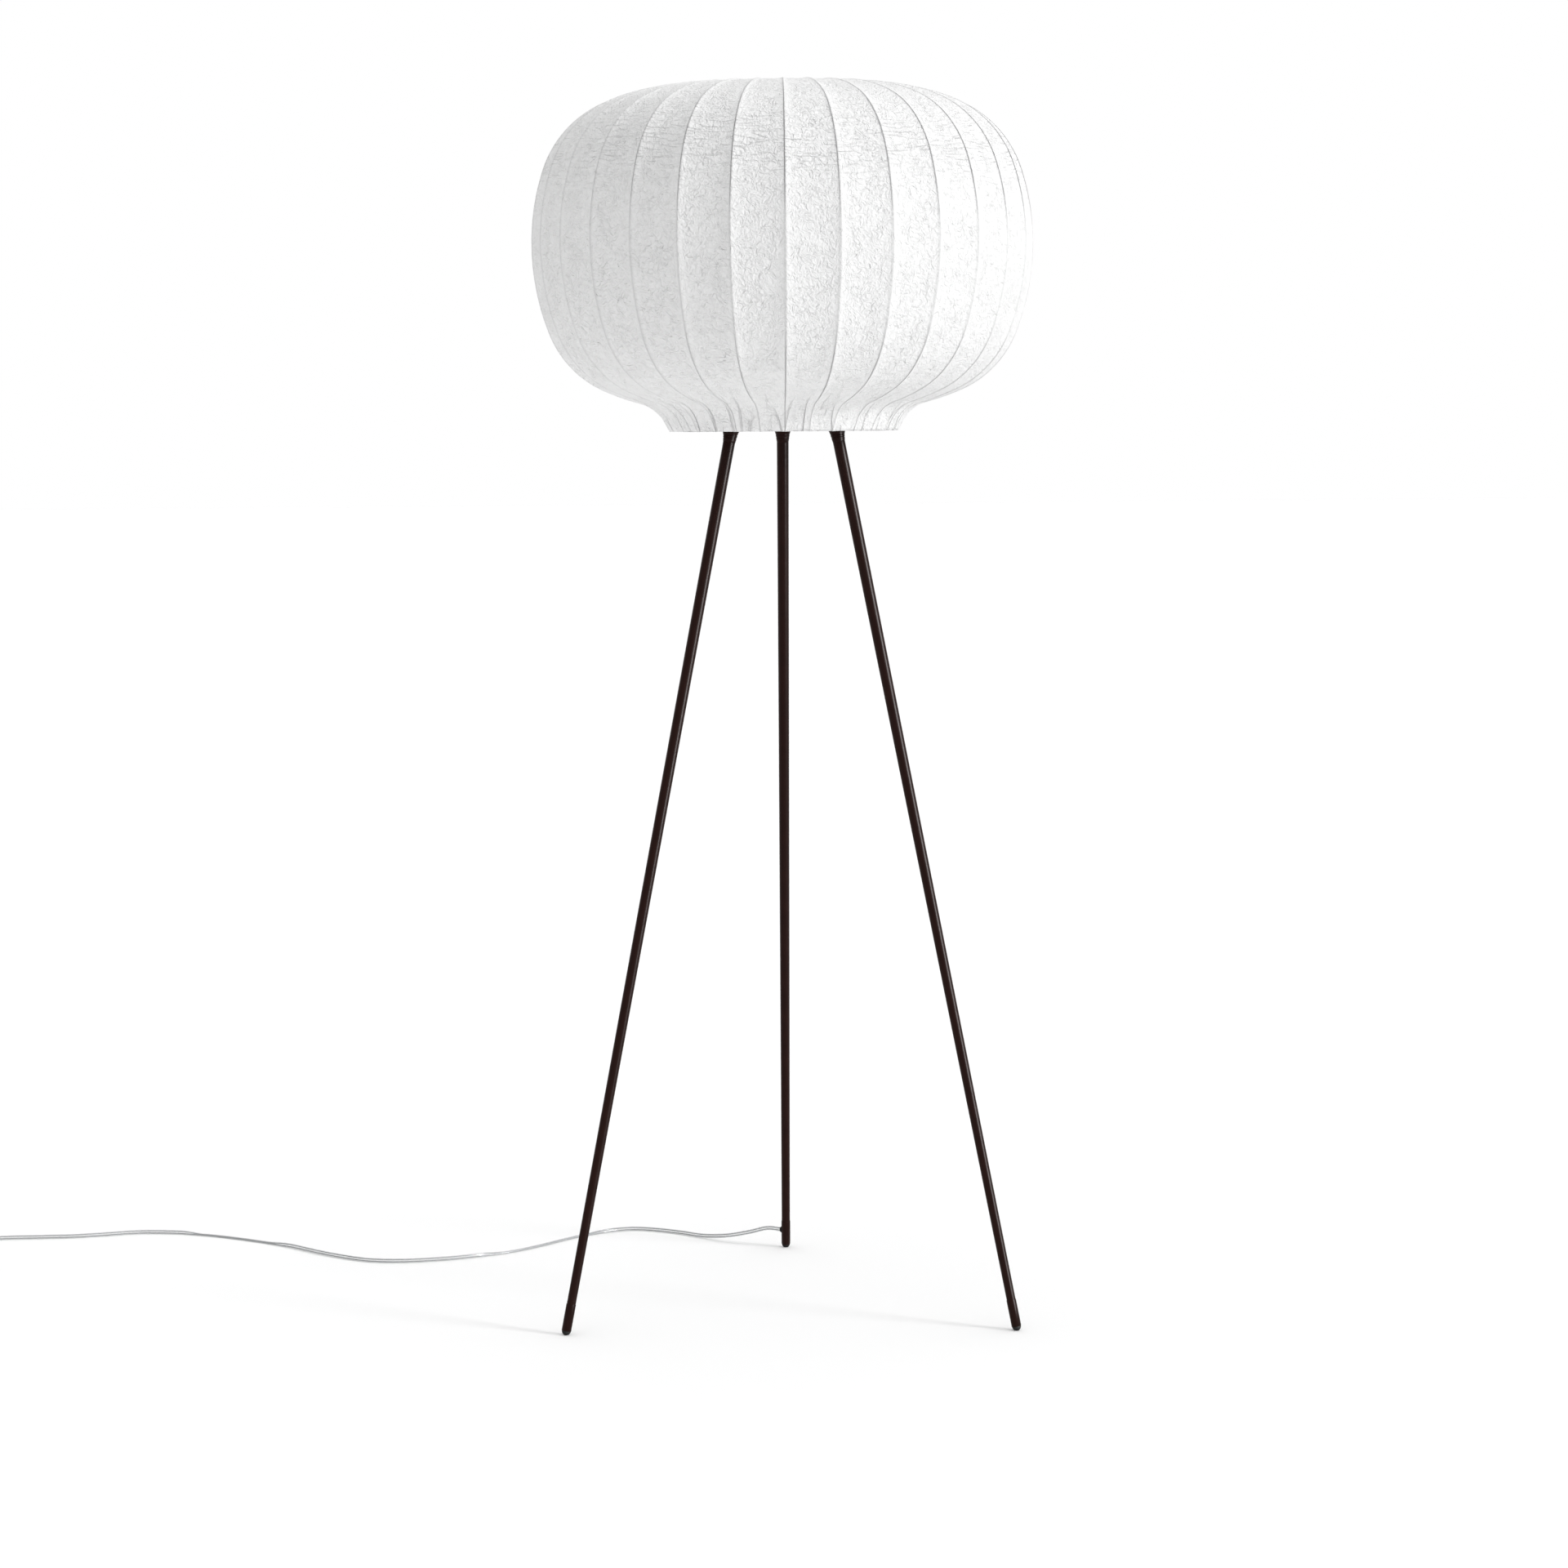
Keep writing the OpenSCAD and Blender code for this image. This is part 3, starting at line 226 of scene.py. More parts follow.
def swept(line, section, rolls):
    """A solid that sweeps a cross-section (sideways, upwards) along a line, rolled at each point."""
    rings = []
    for i, here in enumerate(line):
        ahead = ahead_at(line, i)
        side = ahead.cross(Vector((0, 0, 1))).normalized()
        up = side.cross(ahead)
        c, s = math.cos(rolls[i]), math.sin(rolls[i])
        rings.append([here + side * (x * c - y * s) + up * (x * s + y * c) for x, y in section])
    return skin_over(rings)


def mesh_piece(name, solids, material, smooth=40):
    """One object from one or more (vertices, faces) solids, in place in the frame."""
    verts, faces = [], []
    for solid_verts, solid_faces in solids:
        first = len(verts)
        verts += [tuple(v) for v in solid_verts]
        faces += [tuple(first + k for k in f) for f in solid_faces]
    mesh = bpy.data.meshes.new(name)
    mesh.from_pydata(verts, [], faces)
    mesh.materials.append(material)
    shaped = bmesh.new()
    shaped.from_mesh(mesh)
    bmesh.ops.recalc_face_normals(shaped, faces=shaped.faces)
    shaped.to_mesh(mesh)
    shaped.free()
    mesh.shade_smooth()
    mesh.set_sharp_from_angle(angle=math.radians(smooth))
    piece = bpy.data.objects.new(name, mesh)
    scene.collection.objects.link(piece)
    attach(piece, "lamp")
    return piece


def finish_cad(names, material):
    """CAD pieces that are shown as they are, with this material and soft edges between facets."""
    for name in names:
        mesh = cad[name].data
        mesh.materials.clear()
        mesh.materials.append(material)
        mesh.shade_smooth()
        mesh.set_sharp_from_angle(angle=math.radians(30))


# Outline of the twin sheath: two round cores that meet in a shallow groove.
core_arc, core_steps = 250, 8
sheath_section = []
for middle, facing in ((core_off, 0), (-core_off, 180)):
    for k in range(core_steps + 1):
        a = math.radians(facing + core_arc * (k / core_steps - 0.5))
        sheath_section.append((middle + core_r * math.cos(a), core_r * math.sin(a)))


def repeats(size_mm):
    """How many times a pattern of this size repeats in a metre, which is its scale."""
    return 1 / (size_mm * MM)


clear_pvc, tree, out = start_material("clear_pvc_extruded")
# Soft PVC drawn through a die: glassy, faintly grey, with slow waves that make it glint.
at = add(tree, "ShaderNodeTexCoord")
waves = add(tree, "ShaderNodeTexNoise", {
    "Vector": at.outputs["Object"], "Scale": repeats(11), "Detail": 1.0})
dents = add(tree, "ShaderNodeBump", {
    "Height": waves.outputs["Fac"], "Strength": 0.5, "Distance": 0.6 * MM})
sheath = add(tree, "ShaderNodeBsdfPrincipled", {
    "Base Color": linear("#E4E6E7"), "Roughness": 0.14, "IOR": 1.53, "Alpha": 0.30,
    "Normal": dents.outputs["Normal"]})
tree.links.new(sheath.outputs[0], out.inputs["Surface"])
finish_cad(["inner_lead"], clear_pvc)

tinned_copper, tree, out = start_material("tinned_copper_strands")
# Fine strands twisted together: dull silver, with painted shade in the grooves between the strands.
# The real strands are finer than 0.2 mm, and are drawn this coarse so that they show. A wave set
# diagonally repeats 10 / tau times a unit. A colour mix takes its two colours at 6 and 7 and gives
# output 2.
strand_pitch = 0.9
strand_scale = math.tau / 10 * repeats(strand_pitch)
at = add(tree, "ShaderNodeTexCoord")
strands = add(tree, "ShaderNodeTexWave", {
    "Vector": at.outputs["Object"], "Scale": strand_scale,
    "Distortion": 4.0}, bands_direction="DIAGONAL")
# The wave's low parts, the grooves between the strands, get the darker colour: painted shade.
tone = add(tree, "ShaderNodeMix", {
    "Factor": strands.outputs["Fac"], 6: linear("#56585A"), 7: linear("#77797B")}, data_type="RGBA")
ropes = add(tree, "ShaderNodeBump", {
    "Height": strands.outputs["Fac"], "Strength": 0.5, "Distance": 0.12 * MM})
tin = add(tree, "ShaderNodeBsdfPrincipled", {
    "Base Color": tone.outputs[2], "Metallic": 0.6, "Roughness": 0.42,
    "Normal": ropes.outputs["Normal"]})
tree.links.new(tin.outputs[0], out.inputs["Surface"])

# The lead leaves the back leg's sleeve through a bush, 24 mm above the floor.
foot_circle = 310 * MM
tip_h = 4.9 * MM
socket_circle = 73 * MM
rim_h = 1070 * MM
leg_lean = math.atan((foot_circle - socket_circle) / (rim_h - tip_h))
exit_h = 24 * MM
exit_turn = math.radians(155)
exit_off = 7.4 * MM
exit_way = Vector((math.cos(exit_turn), math.sin(exit_turn), 0))
on_axis = Vector((0, foot_circle - (exit_h - tip_h) * math.tan(leg_lean), exit_h))
exit_point = on_axis + exit_off * exit_way
# Points of the lead's middle line, in millimetres. It is this low where it lies on its edge.
low = 3.1
run_mm = [
    (-50, 329, 16), (-78, 345, 8.5), (-108, 367, 3.7), (-139, 391, low), (-171, 409, low),
    (-205, 418, low), (-238, 407, low), (-268, 387, low), (-294, 360, low), (-321, 329, low),
    (-351, 299, low), (-384, 276, low), (-420, 257, low), (-459, 244, low), (-500, 238, low),
    (-541, 244, low), (-577, 266, low), (-610, 293, low), (-641, 323, low), (-674, 351, low),
    (-709, 375, low), (-746, 397, low), (-785, 415, low), (-827, 425, low), (-869, 427, low),
    (-910, 416, low), (-951, 406, low), (-993, 403, low), (-1034, 401, low), (-1066, 395, 3.4),
    (-1090, 381, 4.8), (-1105, 363, 7), (-1110, 344, 9),
]
straight_out = 20 * MM
run_steps = 8
run = spline([exit_point, exit_point + straight_out * exit_way] + [Vector(p) * MM for p in run_mm],
             run_steps)
# Where the lead lies flat (0) or on its edge (1), by its place across the floor, in millimetres.
edge_at = [(-1110, 1), (-820, 1), (-780, 0), (-690, 0), (-640, 1), (-415, 1), (-365, 0), (-270, 0),
           (-215, 1), (0, 1)]


def rolls_along(line):
    """The roll of the lead at each point, and the line let down on to the floor where it is flat."""
    rolls, laid = [], []
    for p in line:
        edge = float(np.interp(p.x / MM, [e[0] for e in edge_at], [e[1] for e in edge_at]))
        roll = math.pi / 2 * (3 * edge * edge - 2 * edge ** 3)
        rolls.append(roll)
        spare = core_off * (1 - abs(math.sin(roll)))
        laid.append(p - Vector((0, 0, spare)))
    return rolls, laid


wire_sides = 8


def lead_pieces(name, line, rolls):
    """The clear sheath along a line, and the two wires inside it."""
    sleeve = mesh_piece(name + "_sheath", [swept(line, sheath_section, rolls)], clear_pvc)
    outlines = [circle(wire_r, wire_sides, middle) for middle in (core_off, -core_off)]
    wires = [swept(line, outline, rolls) for outline in outlines]
    strands = mesh_piece(name + "_wires", wires, tinned_copper)
    return sleeve, strands


run_rolls, run = rolls_along(run)
run_sheath, run_wires = lead_pieces("lead_run", run, run_rolls)
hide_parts("cord_run")

# Past the switch the lead goes into its put-away coil: five turns on edge, in two layers that
# spiral inwards and out again, and then to the plug.
coil_turns, coil_rings = 5, 48
coil_r, coil_step = 40.0, 6.45
coil_c = (-1070.0, 190.0)
coil_z = 4.2
climb_turns = 0.5


def coil_point(turns):
    """A place on the coil's middle line, this many turns from its start."""
    r = coil_r - coil_step * min(turns, coil_turns - turns)
    a = math.radians(180 + 360 * turns)
    # Half way along it climbs from the lower layer to the upper one.
    climb = min(1, max(0, (turns - coil_turns / 2) / climb_turns + 0.5))
    across_floor = (coil_c[0] + r * math.cos(a), coil_c[1] + r * math.sin(a))
    return Vector((*across_floor, coil_z + coil_step * climb)) * MM


link_mm = [(-1110, 240, 9), (-1110, 234, 8.8), (-1110, 222, 6.2), (-1110, 209, 4.3),
           (-1110, 202, 4.2), (-1110, 196, 4.2)]
end_mm = [(-1110, 184, 10.65), (-1110, 178, 10.5), (-1110, 167, 8.8), (-1110, 156, 7.1),
          (-1110, 150, 6.85)]
link_steps = 4
tail = spline([Vector(p) * MM for p in link_mm], link_steps)
tail += [coil_point(i / coil_rings) for i in range(coil_rings * coil_turns + 1)]
tail += spline([Vector(p) * MM for p in end_mm], link_steps)
tail_sheath, tail_wires = lead_pieces("lead_tail", tail, [math.pi / 2] * len(tail))
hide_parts("cord_link", "cord_coil", "cord_end")

black_rubber, tree, out = start_material("black_rubber_moulded")
# Moulded rubber: dull black with a fine grain and grey scuffs. The real grain is about 0.1 mm,
# and is drawn coarser so that it shows.
at = add(tree, "ShaderNodeTexCoord")
grain = add(tree, "ShaderNodeTexNoise", {
    "Vector": at.outputs["Object"], "Scale": repeats(0.67), "Detail": 2.0})
rough = add(tree, "ShaderNodeBump", {
    "Height": grain.outputs["Fac"], "Strength": 0.4, "Distance": 0.05 * MM})
scuff = add(tree, "ShaderNodeTexNoise", {
    "Vector": at.outputs["Object"], "Scale": repeats(3.3), "Detail": 4.0})
tone = add(tree, "ShaderNodeMix", {
    "Factor": scuff.outputs["Fac"], 6: linear("#080808"), 7: linear("#171717")}, data_type="RGBA")
gum = add(tree, "ShaderNodeBsdfPrincipled", {
    "Base Color": tone.outputs[2], "Roughness": 0.62, "IOR": 1.52, "Specular IOR Level": 0.2,
    "Normal": rough.outputs["Normal"]})
tree.links.new(gum.outputs[0], out.inputs["Surface"])
# The bush where the lead comes out tapers on to it: its radius at each depth back into the sleeve.
bush_shape = [(4.4, 4.0), (1.9, 4.1), (1.3, 4.05), (0.6, 3.75), (0.1, 3.4), (0, 3.25)]
bush_sides = 32
upright = Vector((0, 0, 1))
sideways = exit_way.cross(upright)
bush_rings = []
for depth, r in bush_shape:
    here = exit_point - exit_way * depth * MM
    bush_rings.append([here + (sideways * x + upright * y) * MM for x, y in circle(r, bush_sides)])
bush = mesh_piece("cord_bush_moulded", [skin_over(bush_rings)], black_rubber, smooth=50)
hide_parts("cord_bush")

# --- The paper lantern ------------------------------------------------------------------------
# Long-fibred paper, pasted wet over wire ribs and left to dry. It draws in between the ribs,
# and its crumpled skin keeps fine creases all over, with crosswise puckers at the shoulders.
lantern_r = 300.0


def along(a):
    """The unit direction at this angle in degrees, outwards and upwards."""
    return np.array([math.cos(math.radians(a)), math.sin(math.radians(a))])


# The outline as the part's source gives it: radius and turn of each arc, from the widest place up
# to the top and down to the rim, in millimetres and degrees.
side_r, side_turn = 277.0, 18.5
shoulder_r, shoulder_turn = 131.0, 49.0
top_r = 256.0
low_side_r, low_side_turn = 293.0, 21.0
low_shoulder_r, low_shoulder_turn = 123.0, 45.5
belly_r, belly_turn = 302.0, 8.5
neck_r = 47.0
collar_tilt, collar_len = 27.5, 12.0
top_hole_r = 80.0
shoulder_end = side_turn + shoulder_turn
low_end = low_side_turn + low_shoulder_turn
belly_end = low_end + belly_turn
side_c = np.array([lantern_r - side_r, 0.0])
shoulder_c = side_c + (side_r - shoulder_r) * along(side_turn)
top_c = shoulder_c + (shoulder_r - top_r) * along(shoulder_end)
low_side_c = np.array([lantern_r - low_side_r, 0.0])
low_shoulder_c = low_side_c + (low_side_r - low_shoulder_r) * along(-low_side_turn)
belly_c = low_shoulder_c + (low_shoulder_r - belly_r) * along(-low_end)
neck_c = belly_c + (belly_r + neck_r) * along(-belly_end)
neck_end = neck_c - neck_r * along(-collar_tilt)
rim_end = neck_end - collar_len * along(90 - collar_tilt)
widest_h = rim_h / MM - rim_end[1]


def arc(centre, r, a0, a1, step=4.0):
    """Points and outward normals along an arc after its first point, about a step apart."""
    n = max(2, int(abs(r * math.radians(a1 - a0)) / step))
    ways = [along(a0 + (a1 - a0) * k / n) for k in range(1, n + 1)]
    return [(centre + r * way, way) for way in ways]


top_height = top_c[1] + top_r
top_rows, neck_rows = 10, 13
flat_radii = np.linspace(top_hole_r, top_c[0], top_rows)
outline = [(np.array([r, top_height]), along(90)) for r in flat_radii]
outline += arc(top_c, top_r, 90, shoulder_end)
outline += arc(shoulder_c, shoulder_r, shoulder_end, side_turn)
outline += arc(side_c, side_r, side_turn, 0)
outline += arc(low_side_c, low_side_r, 0, -low_side_turn)
outline += arc(low_shoulder_c, low_shoulder_r, -low_side_turn, -low_end)
outline += arc(belly_c, belly_r, -low_end, -belly_end)
neck_angles = np.linspace(-belly_end, -collar_tilt, neck_rows + 1)[1:]
outline += [(neck_c - neck_r * along(a), along(a)) for a in neck_angles]
outline += [(neck_end + (rim_end - neck_end) * t, along(-collar_tilt)) for t in (0.33, 0.67, 1.0)]

rib_count = 30
# Places across one gore, from one rib (0) to the next (1): close together beside the ribs.
across = [0, 0.022, 0.05, 0.1, 0.17, 0.26, 0.36, 0.45, 0.55, 0.64, 0.74, 0.83, 0.9, 0.95, 0.978]
# The sheet's relief, in millimetres. It stands up over each wire and draws in between the wires.
# Further than tight_w from a wire it is loose, with dents and creases.
gore_sag, sag_power = 2.7, 2.7
ridge_h, ridge_w, edge_share = 0.65, 1.7, 0.3
tight_w = 6.0
# Puckers are strongest where the outline bends most: at the upper and the lower shoulder.
upper_shoulder_h, upper_spread = 1400, 55
lower_shoulder_h, lower_spread, lower_share = 1135, 40, 0.4
collar_h, collar_spread, pleat_h = 1108, 8, 1.1
# Each pattern has its own size, and starts at a place of its own in the noise. Dents are given by
# height, size and start. Puckers are long across the gore and short down it.
dents = ((0.20, 18.18, Vector((0, 0, 0))), (0.16, 7.692, Vector((9, 0, 0))))
crease_h, crease_sharp, crease_size, crease_from = 0.125, 9, 22.22, Vector((0, 31, 0))
pucker_w, pucker_h = 45.45, 6.25
pucker_from = (7.3, 3.1)
# The pleats repeat by the angle round the lantern, and keep their line down the collar.
pleats_a_radian, pleat_long, pleat_from = 26, 50, 5


def bell(distance, width):
    """1 at no distance, falling softly to nothing past the width."""
    return math.exp(-((distance / width) ** 2))


rows = len(outline)
cols = rib_count * len(across)
steps_down = [np.linalg.norm(outline[k + 1][0] - outline[k][0]) for k in range(rows - 1)]
travelled = np.concatenate([[0], np.cumsum(steps_down)])
gore_turn = math.tau / rib_count
# How much of the wire's painted shadow the paper gets: on the wire, and at the points on each side of
# it.
wire_shadow_share = {across[0]: 1.0, across[1]: 0.45, across[-1]: 0.45}
# Creases are this much shallower beside a wire.
pulled_flat = 0.4
# The third number of sheet_at, which moves each gore to a place of its own in a pattern.
gore_step = 0.1
paper_verts, over_rib, sheet_at, pucker_at, slack_at, collar_at = [], [], [], [], [], []
for k, (point, out_dir) in enumerate(outline):
    r = point[0]
    height = widest_h + point[1]
    sag = gore_sag * (r / lantern_r) ** 2
    shoulder = bell(height - upper_shoulder_h, upper_spread)
    shoulder += lower_share * bell(height - lower_shoulder_h, lower_spread)
    collar = 1 / (1 + math.exp((height - collar_h) / collar_spread))
    for gore in range(rib_count):
        for t in across:
            turn = gore_turn * (gore + t) - math.pi / 2
            bow = 1 - abs(2 * t - 1) ** sag_power
            chord = math.cos(gore_turn / 2) / math.cos((t - 0.5) * gore_turn)
            near = min(t, 1 - t) * gore_turn * r
            ridge = ridge_h * bell(near, ridge_w)
            tight = bell(near, tight_w)
            here = Vector((r * math.cos(turn), r * math.sin(turn), height))
            dented = sum(depth * noise.noise(here / size + start) for depth, size, start in dents)
            off_crease = abs(noise.noise(here / crease_size + crease_from))
            crease = crease_h * max(0, 1 - crease_sharp * off_crease)
            cross = noise.noise(Vector((turn * r / pucker_w + gore * pucker_from[0],
                                        travelled[k] / pucker_h, gore * pucker_from[1])))
            pleat = noise.noise(Vector((turn * pleats_a_radian, travelled[k] / pleat_long,
                                        pleat_from)))
            lift = ridge - bow * sag + (1 - tight) * (dented + crease + shoulder * cross)
            lift += collar * pleat_h * pleat
            # The sheet's own edges lie smooth on the two rings.
            if k in (0, rows - 1):
                lift = ridge * edge_share - bow * sag
            from_axis = r * chord + out_dir[0] * lift
            paper_verts.append((from_axis * math.cos(turn) * MM, from_axis * math.sin(turn) * MM,
                                (height + out_dir[1] * lift) * MM))
            # What the paper's shader reads at this point.
            over_rib.append(wire_shadow_share.get(t, 0.0))
            from_middle = (t - 0.5) * gore_turn * r
            sheet_at.append((from_middle * MM, travelled[k] * MM, gore * gore_step))
            pucker_at.append(min(1.0, shoulder))
            slack_at.append(1 - pulled_flat * tight)
            collar_at.append(collar)
paper_faces = []
for k in range(rows - 1):
    for j in range(cols):
        a, b = k * cols + j, k * cols + (j + 1) % cols
        paper_faces.append((a, a + cols, b + cols, b))

pasted_paper, tree, out = start_material("mulberry_paper_pasted")
# Crumpled long-fibre paper: matt white and a little see-through, with a net of hair-thin creases,
# crosswise puckers at the shoulders, and the wires' shadow through it painted as faint grey lines.
# The felt of its fibres is finer than 0.1 mm, and is drawn at 2.6 mm so that it shows.
at = add(tree, "ShaderNodeTexCoord")
place = at.outputs["Object"]
warp = add(tree, "ShaderNodeTexNoise", {"Vector": place, "Scale": repeats(14), "Detail": 2.0})
# Noise lies round its middle value, and patterns are bent by up to half of this length.
noise_mid = 0.5
bend_by = 12 * MM
pull = add(tree, "ShaderNodeVectorMath", {
    0: warp.outputs["Color"], 1: [noise_mid] * 3}, operation="SUBTRACT")
bent = add(tree, "ShaderNodeVectorMath", {
    0: pull.outputs[0], 1: [bend_by] * 3, 2: place}, operation="MULTIPLY_ADD")
# Creases about 3, 5 and 11 mm apart, deepest in the middle size.
creases = []
for size, depth in ((3.1, 0.85), (5.3, 1.0), (11, 0.45)):
    field = add(tree, "ShaderNodeTexNoise", {
        "Vector": bent.outputs[0], "Scale": repeats(size), "Detail": 0.0})
    off = add(tree, "ShaderNodeMath", {0: field.outputs["Fac"], 1: noise_mid}, operation="SUBTRACT")
    gap = add(tree, "ShaderNodeMath", {0: off.outputs[0]}, operation="ABSOLUTE")
    line = add(tree, "ShaderNodeMapRange", {
        "Value": gap.outputs[0], "From Min": 0.0, "From Max": 0.35, "To Min": 0.25 * depth,
        "To Max": -0.75 * depth})
    creases.append(line.outputs[0])
# Straight folds, one to a patch of about 16 mm and of 8 mm, each its own way round: the patch's
# size, the fold's width and its depth.
for size, width, depth in ((16, 1.6, 0.8), (8, 1.2, 0.6)):
    plots = add(tree, "ShaderNodeTexVoronoi", {"Vector": bent.outputs[0], "Scale": repeats(size)})
    away = add(tree, "ShaderNodeVectorMath", {
        0: bent.outputs[0], 1: plots.outputs["Position"]}, operation="SUBTRACT")
    way = add(tree, "ShaderNodeVectorMath", {
        0: plots.outputs["Color"], 1: [noise_mid] * 3}, operation="SUBTRACT")
    way_unit = add(tree, "ShaderNodeVectorMath", {0: way.outputs[0]}, operation="NORMALIZE")
    beside = add(tree, "ShaderNodeVectorMath", {
        0: away.outputs[0], 1: way_unit.outputs[0]}, operation="DOT_PRODUCT")
    off_fold = add(tree, "ShaderNodeMath", {0: beside.outputs["Value"]}, operation="ABSOLUTE")
    fold = add(tree, "ShaderNodeMapRange", {
        "Value": off_fold.outputs[0], "From Min": 0.0, "From Max": width * MM, "To Min": depth,
        "To Max": 0.0})
    rim = add(tree, "ShaderNodeMapRange", {
        "Value": plots.outputs["Distance"], "From Min": 0.25, "From Max": 0.5, "To Min": 1.0,
        "To Max": 0.0})
    kept = add(tree, "ShaderNodeMath", {
        0: fold.outputs[0], 1: rim.outputs[0]}, operation="MULTIPLY")
    creases.append(kept.outputs[0])
heights = creases[0]
for layer in creases[1:]:
    heights = add(tree, "ShaderNodeMath", {0: heights, 1: layer}, operation="ADD").outputs[0]
# The sheet is tight beside the ribs. Elsewhere it is smoother in some places than in others.
patches = add(tree, "ShaderNodeTexNoise", {"Vector": place, "Scale": repeats(30), "Detail": 1.0})
crowded = add(tree, "ShaderNodeMapRange", {
    "Value": patches.outputs["Fac"], "From Min": 0.36, "From Max": 0.6, "To Min": 0.9,
    "To Max": 1.1})
slack = add(tree, "ShaderNodeAttribute", attribute_name="slack_at")
amount = add(tree, "ShaderNodeMath", {
    0: crowded.outputs[0], 1: slack.outputs["Fac"]}, operation="MULTIPLY")
heights = add(tree, "ShaderNodeMath", {
    0: heights, 1: amount.outputs[0]}, operation="MULTIPLY").outputs[0]
felt = add(tree, "ShaderNodeTexNoise", {
    "Vector": place, "Scale": repeats(2.6), "Detail": 3.0, "Roughness": 0.6})
felt_depth = 0.25
heights = add(tree, "ShaderNodeMath", {
    0: felt.outputs["Fac"], 1: felt_depth, 2: heights}, operation="MULTIPLY_ADD").outputs[0]
# Puckers run across the gores, about 33 mm long and 7 mm apart. The third scale sets the gores so
# far apart in the noise that no two are alike.
gore_apart = 90.0
sheet_place = add(tree, "ShaderNodeAttribute", attribute_name="sheet_at")
stretch = add(tree, "ShaderNodeVectorMath", {
    0: sheet_place.outputs["Vector"],
    1: (repeats(33), repeats(7.4), gore_apart)}, operation="MULTIPLY")
folds = add(tree, "ShaderNodeTexNoise", {"Vector": stretch.outputs[0], "Scale": 1.0, "Detail": 1.0})
off_fold = add(tree, "ShaderNodeMath", {
    0: folds.outputs["Fac"], 1: noise_mid}, operation="SUBTRACT")
beside_fold = add(tree, "ShaderNodeMath", {0: off_fold.outputs[0]}, operation="ABSOLUTE")
pucker = add(tree, "ShaderNodeMapRange", {
    "Value": beside_fold.outputs[0], "From Min": 0.0, "From Max": 0.11, "To Min": -1.3,
    "To Max": 0.0})
weight = add(tree, "ShaderNodeAttribute", attribute_name="pucker_at")
heights = add(tree, "ShaderNodeMath", {
    0: pucker.outputs[0], 1: weight.outputs["Fac"],
    2: heights}, operation="MULTIPLY_ADD").outputs[0]
# Where the sheet is gathered in to the rim, narrow folds run down the collar, about 17 mm apart.
collar_apart = 20.0
down = add(tree, "ShaderNodeVectorMath", {
    0: sheet_place.outputs["Vector"],
    1: (repeats(17), repeats(110), collar_apart)}, operation="MULTIPLY")
gather = add(tree, "ShaderNodeTexNoise", {"Vector": down.outputs[0], "Scale": 1.0, "Detail": 0.0})
off_mid = add(tree, "ShaderNodeMath", {
    0: gather.outputs["Fac"], 1: noise_mid}, operation="SUBTRACT")
beside_mid = add(tree, "ShaderNodeMath", {0: off_mid.outputs[0]}, operation="ABSOLUTE")
valley = add(tree, "ShaderNodeMapRange", {
    "Value": beside_mid.outputs[0], "From Min": 0.0, "From Max": 0.05, "To Min": -2.2,
    "To Max": 0.0})
on_collar = add(tree, "ShaderNodeAttribute", attribute_name="collar_at")
heights = add(tree, "ShaderNodeMath", {
    0: valley.outputs[0], 1: on_collar.outputs["Fac"],
    2: heights}, operation="MULTIPLY_ADD").outputs[0]
creased = add(tree, "ShaderNodeBump", {"Height": heights, "Strength": 1.0, "Distance": 0.9 * MM})
cloud = add(tree, "ShaderNodeTexNoise", {"Vector": place, "Scale": repeats(36), "Detail": 3.0})
mottle = add(tree, "ShaderNodeMix", {
    "Factor": cloud.outputs["Fac"], 6: linear("#F2F2F2"), 7: linear("#F8F8F8")}, data_type="RGBA")
wire_shadow_mask = add(tree, "ShaderNodeAttribute", attribute_name="over_rib")
# The wire's painted shadow takes the paper this far towards a darker grey.
wire_shadow_depth = 0.75
faint = add(tree, "ShaderNodeMath", {
    0: wire_shadow_mask.outputs["Fac"], 1: wire_shadow_depth}, operation="MULTIPLY")
# Painted shadow: over each rib the paper's colour is mixed towards grey.
toned = add(tree, "ShaderNodeMix", {
    "Factor": faint.outputs[0], 6: mottle.outputs[2], 7: linear("#DADADA")}, data_type="RGBA")
face = add(tree, "ShaderNodeBsdfPrincipled", {
    "Base Color": toned.outputs[2], "Roughness": 0.72, "IOR": 1.5, "Specular IOR Level": 0.2,
    "Normal": creased.outputs["Normal"]})
through = add(tree, "ShaderNodeBsdfTranslucent", {
    "Color": linear("#F5F5F5"), "Normal": creased.outputs["Normal"]})
# The share of the sheet's light that comes through from behind.
see_through = 0.18
thin = add(tree, "ShaderNodeMixShader", {0: see_through, 1: face.outputs[0], 2: through.outputs[0]})
tree.links.new(thin.outputs[0], out.inputs["Surface"])

paper = mesh_piece("lantern_paper", [(paper_verts, paper_faces)], pasted_paper, smooth=180)
for name, kind, values in (("over_rib", "FLOAT", over_rib), ("pucker_at", "FLOAT", pucker_at),
                           ("slack_at", "FLOAT", slack_at), ("collar_at", "FLOAT", collar_at),
                           ("sheet_at", "FLOAT_VECTOR", sheet_at)):
    layer = paper.data.attributes.new(name, kind, "POINT")
    held_as = "value" if kind == "FLOAT" else "vector"
    layer.data.foreach_set(held_as, np.array(values, np.float32).ravel())
skin = paper.modifiers.new("thickness", "SOLIDIFY")
skin.thickness = 0.5 * MM
skin.offset = -1
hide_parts("shade_skin")

# --- The lantern's wires ----------------------------------------------------------------------
# Thirty ribs of 2 mm steel wire, enamelled white, from a ring round the top opening down to a
# ring inside the collar. Both rings are 4 mm wire, spot-welded to the ribs.
white_enamel, tree, out = start_material("white_enamel_on_wire")
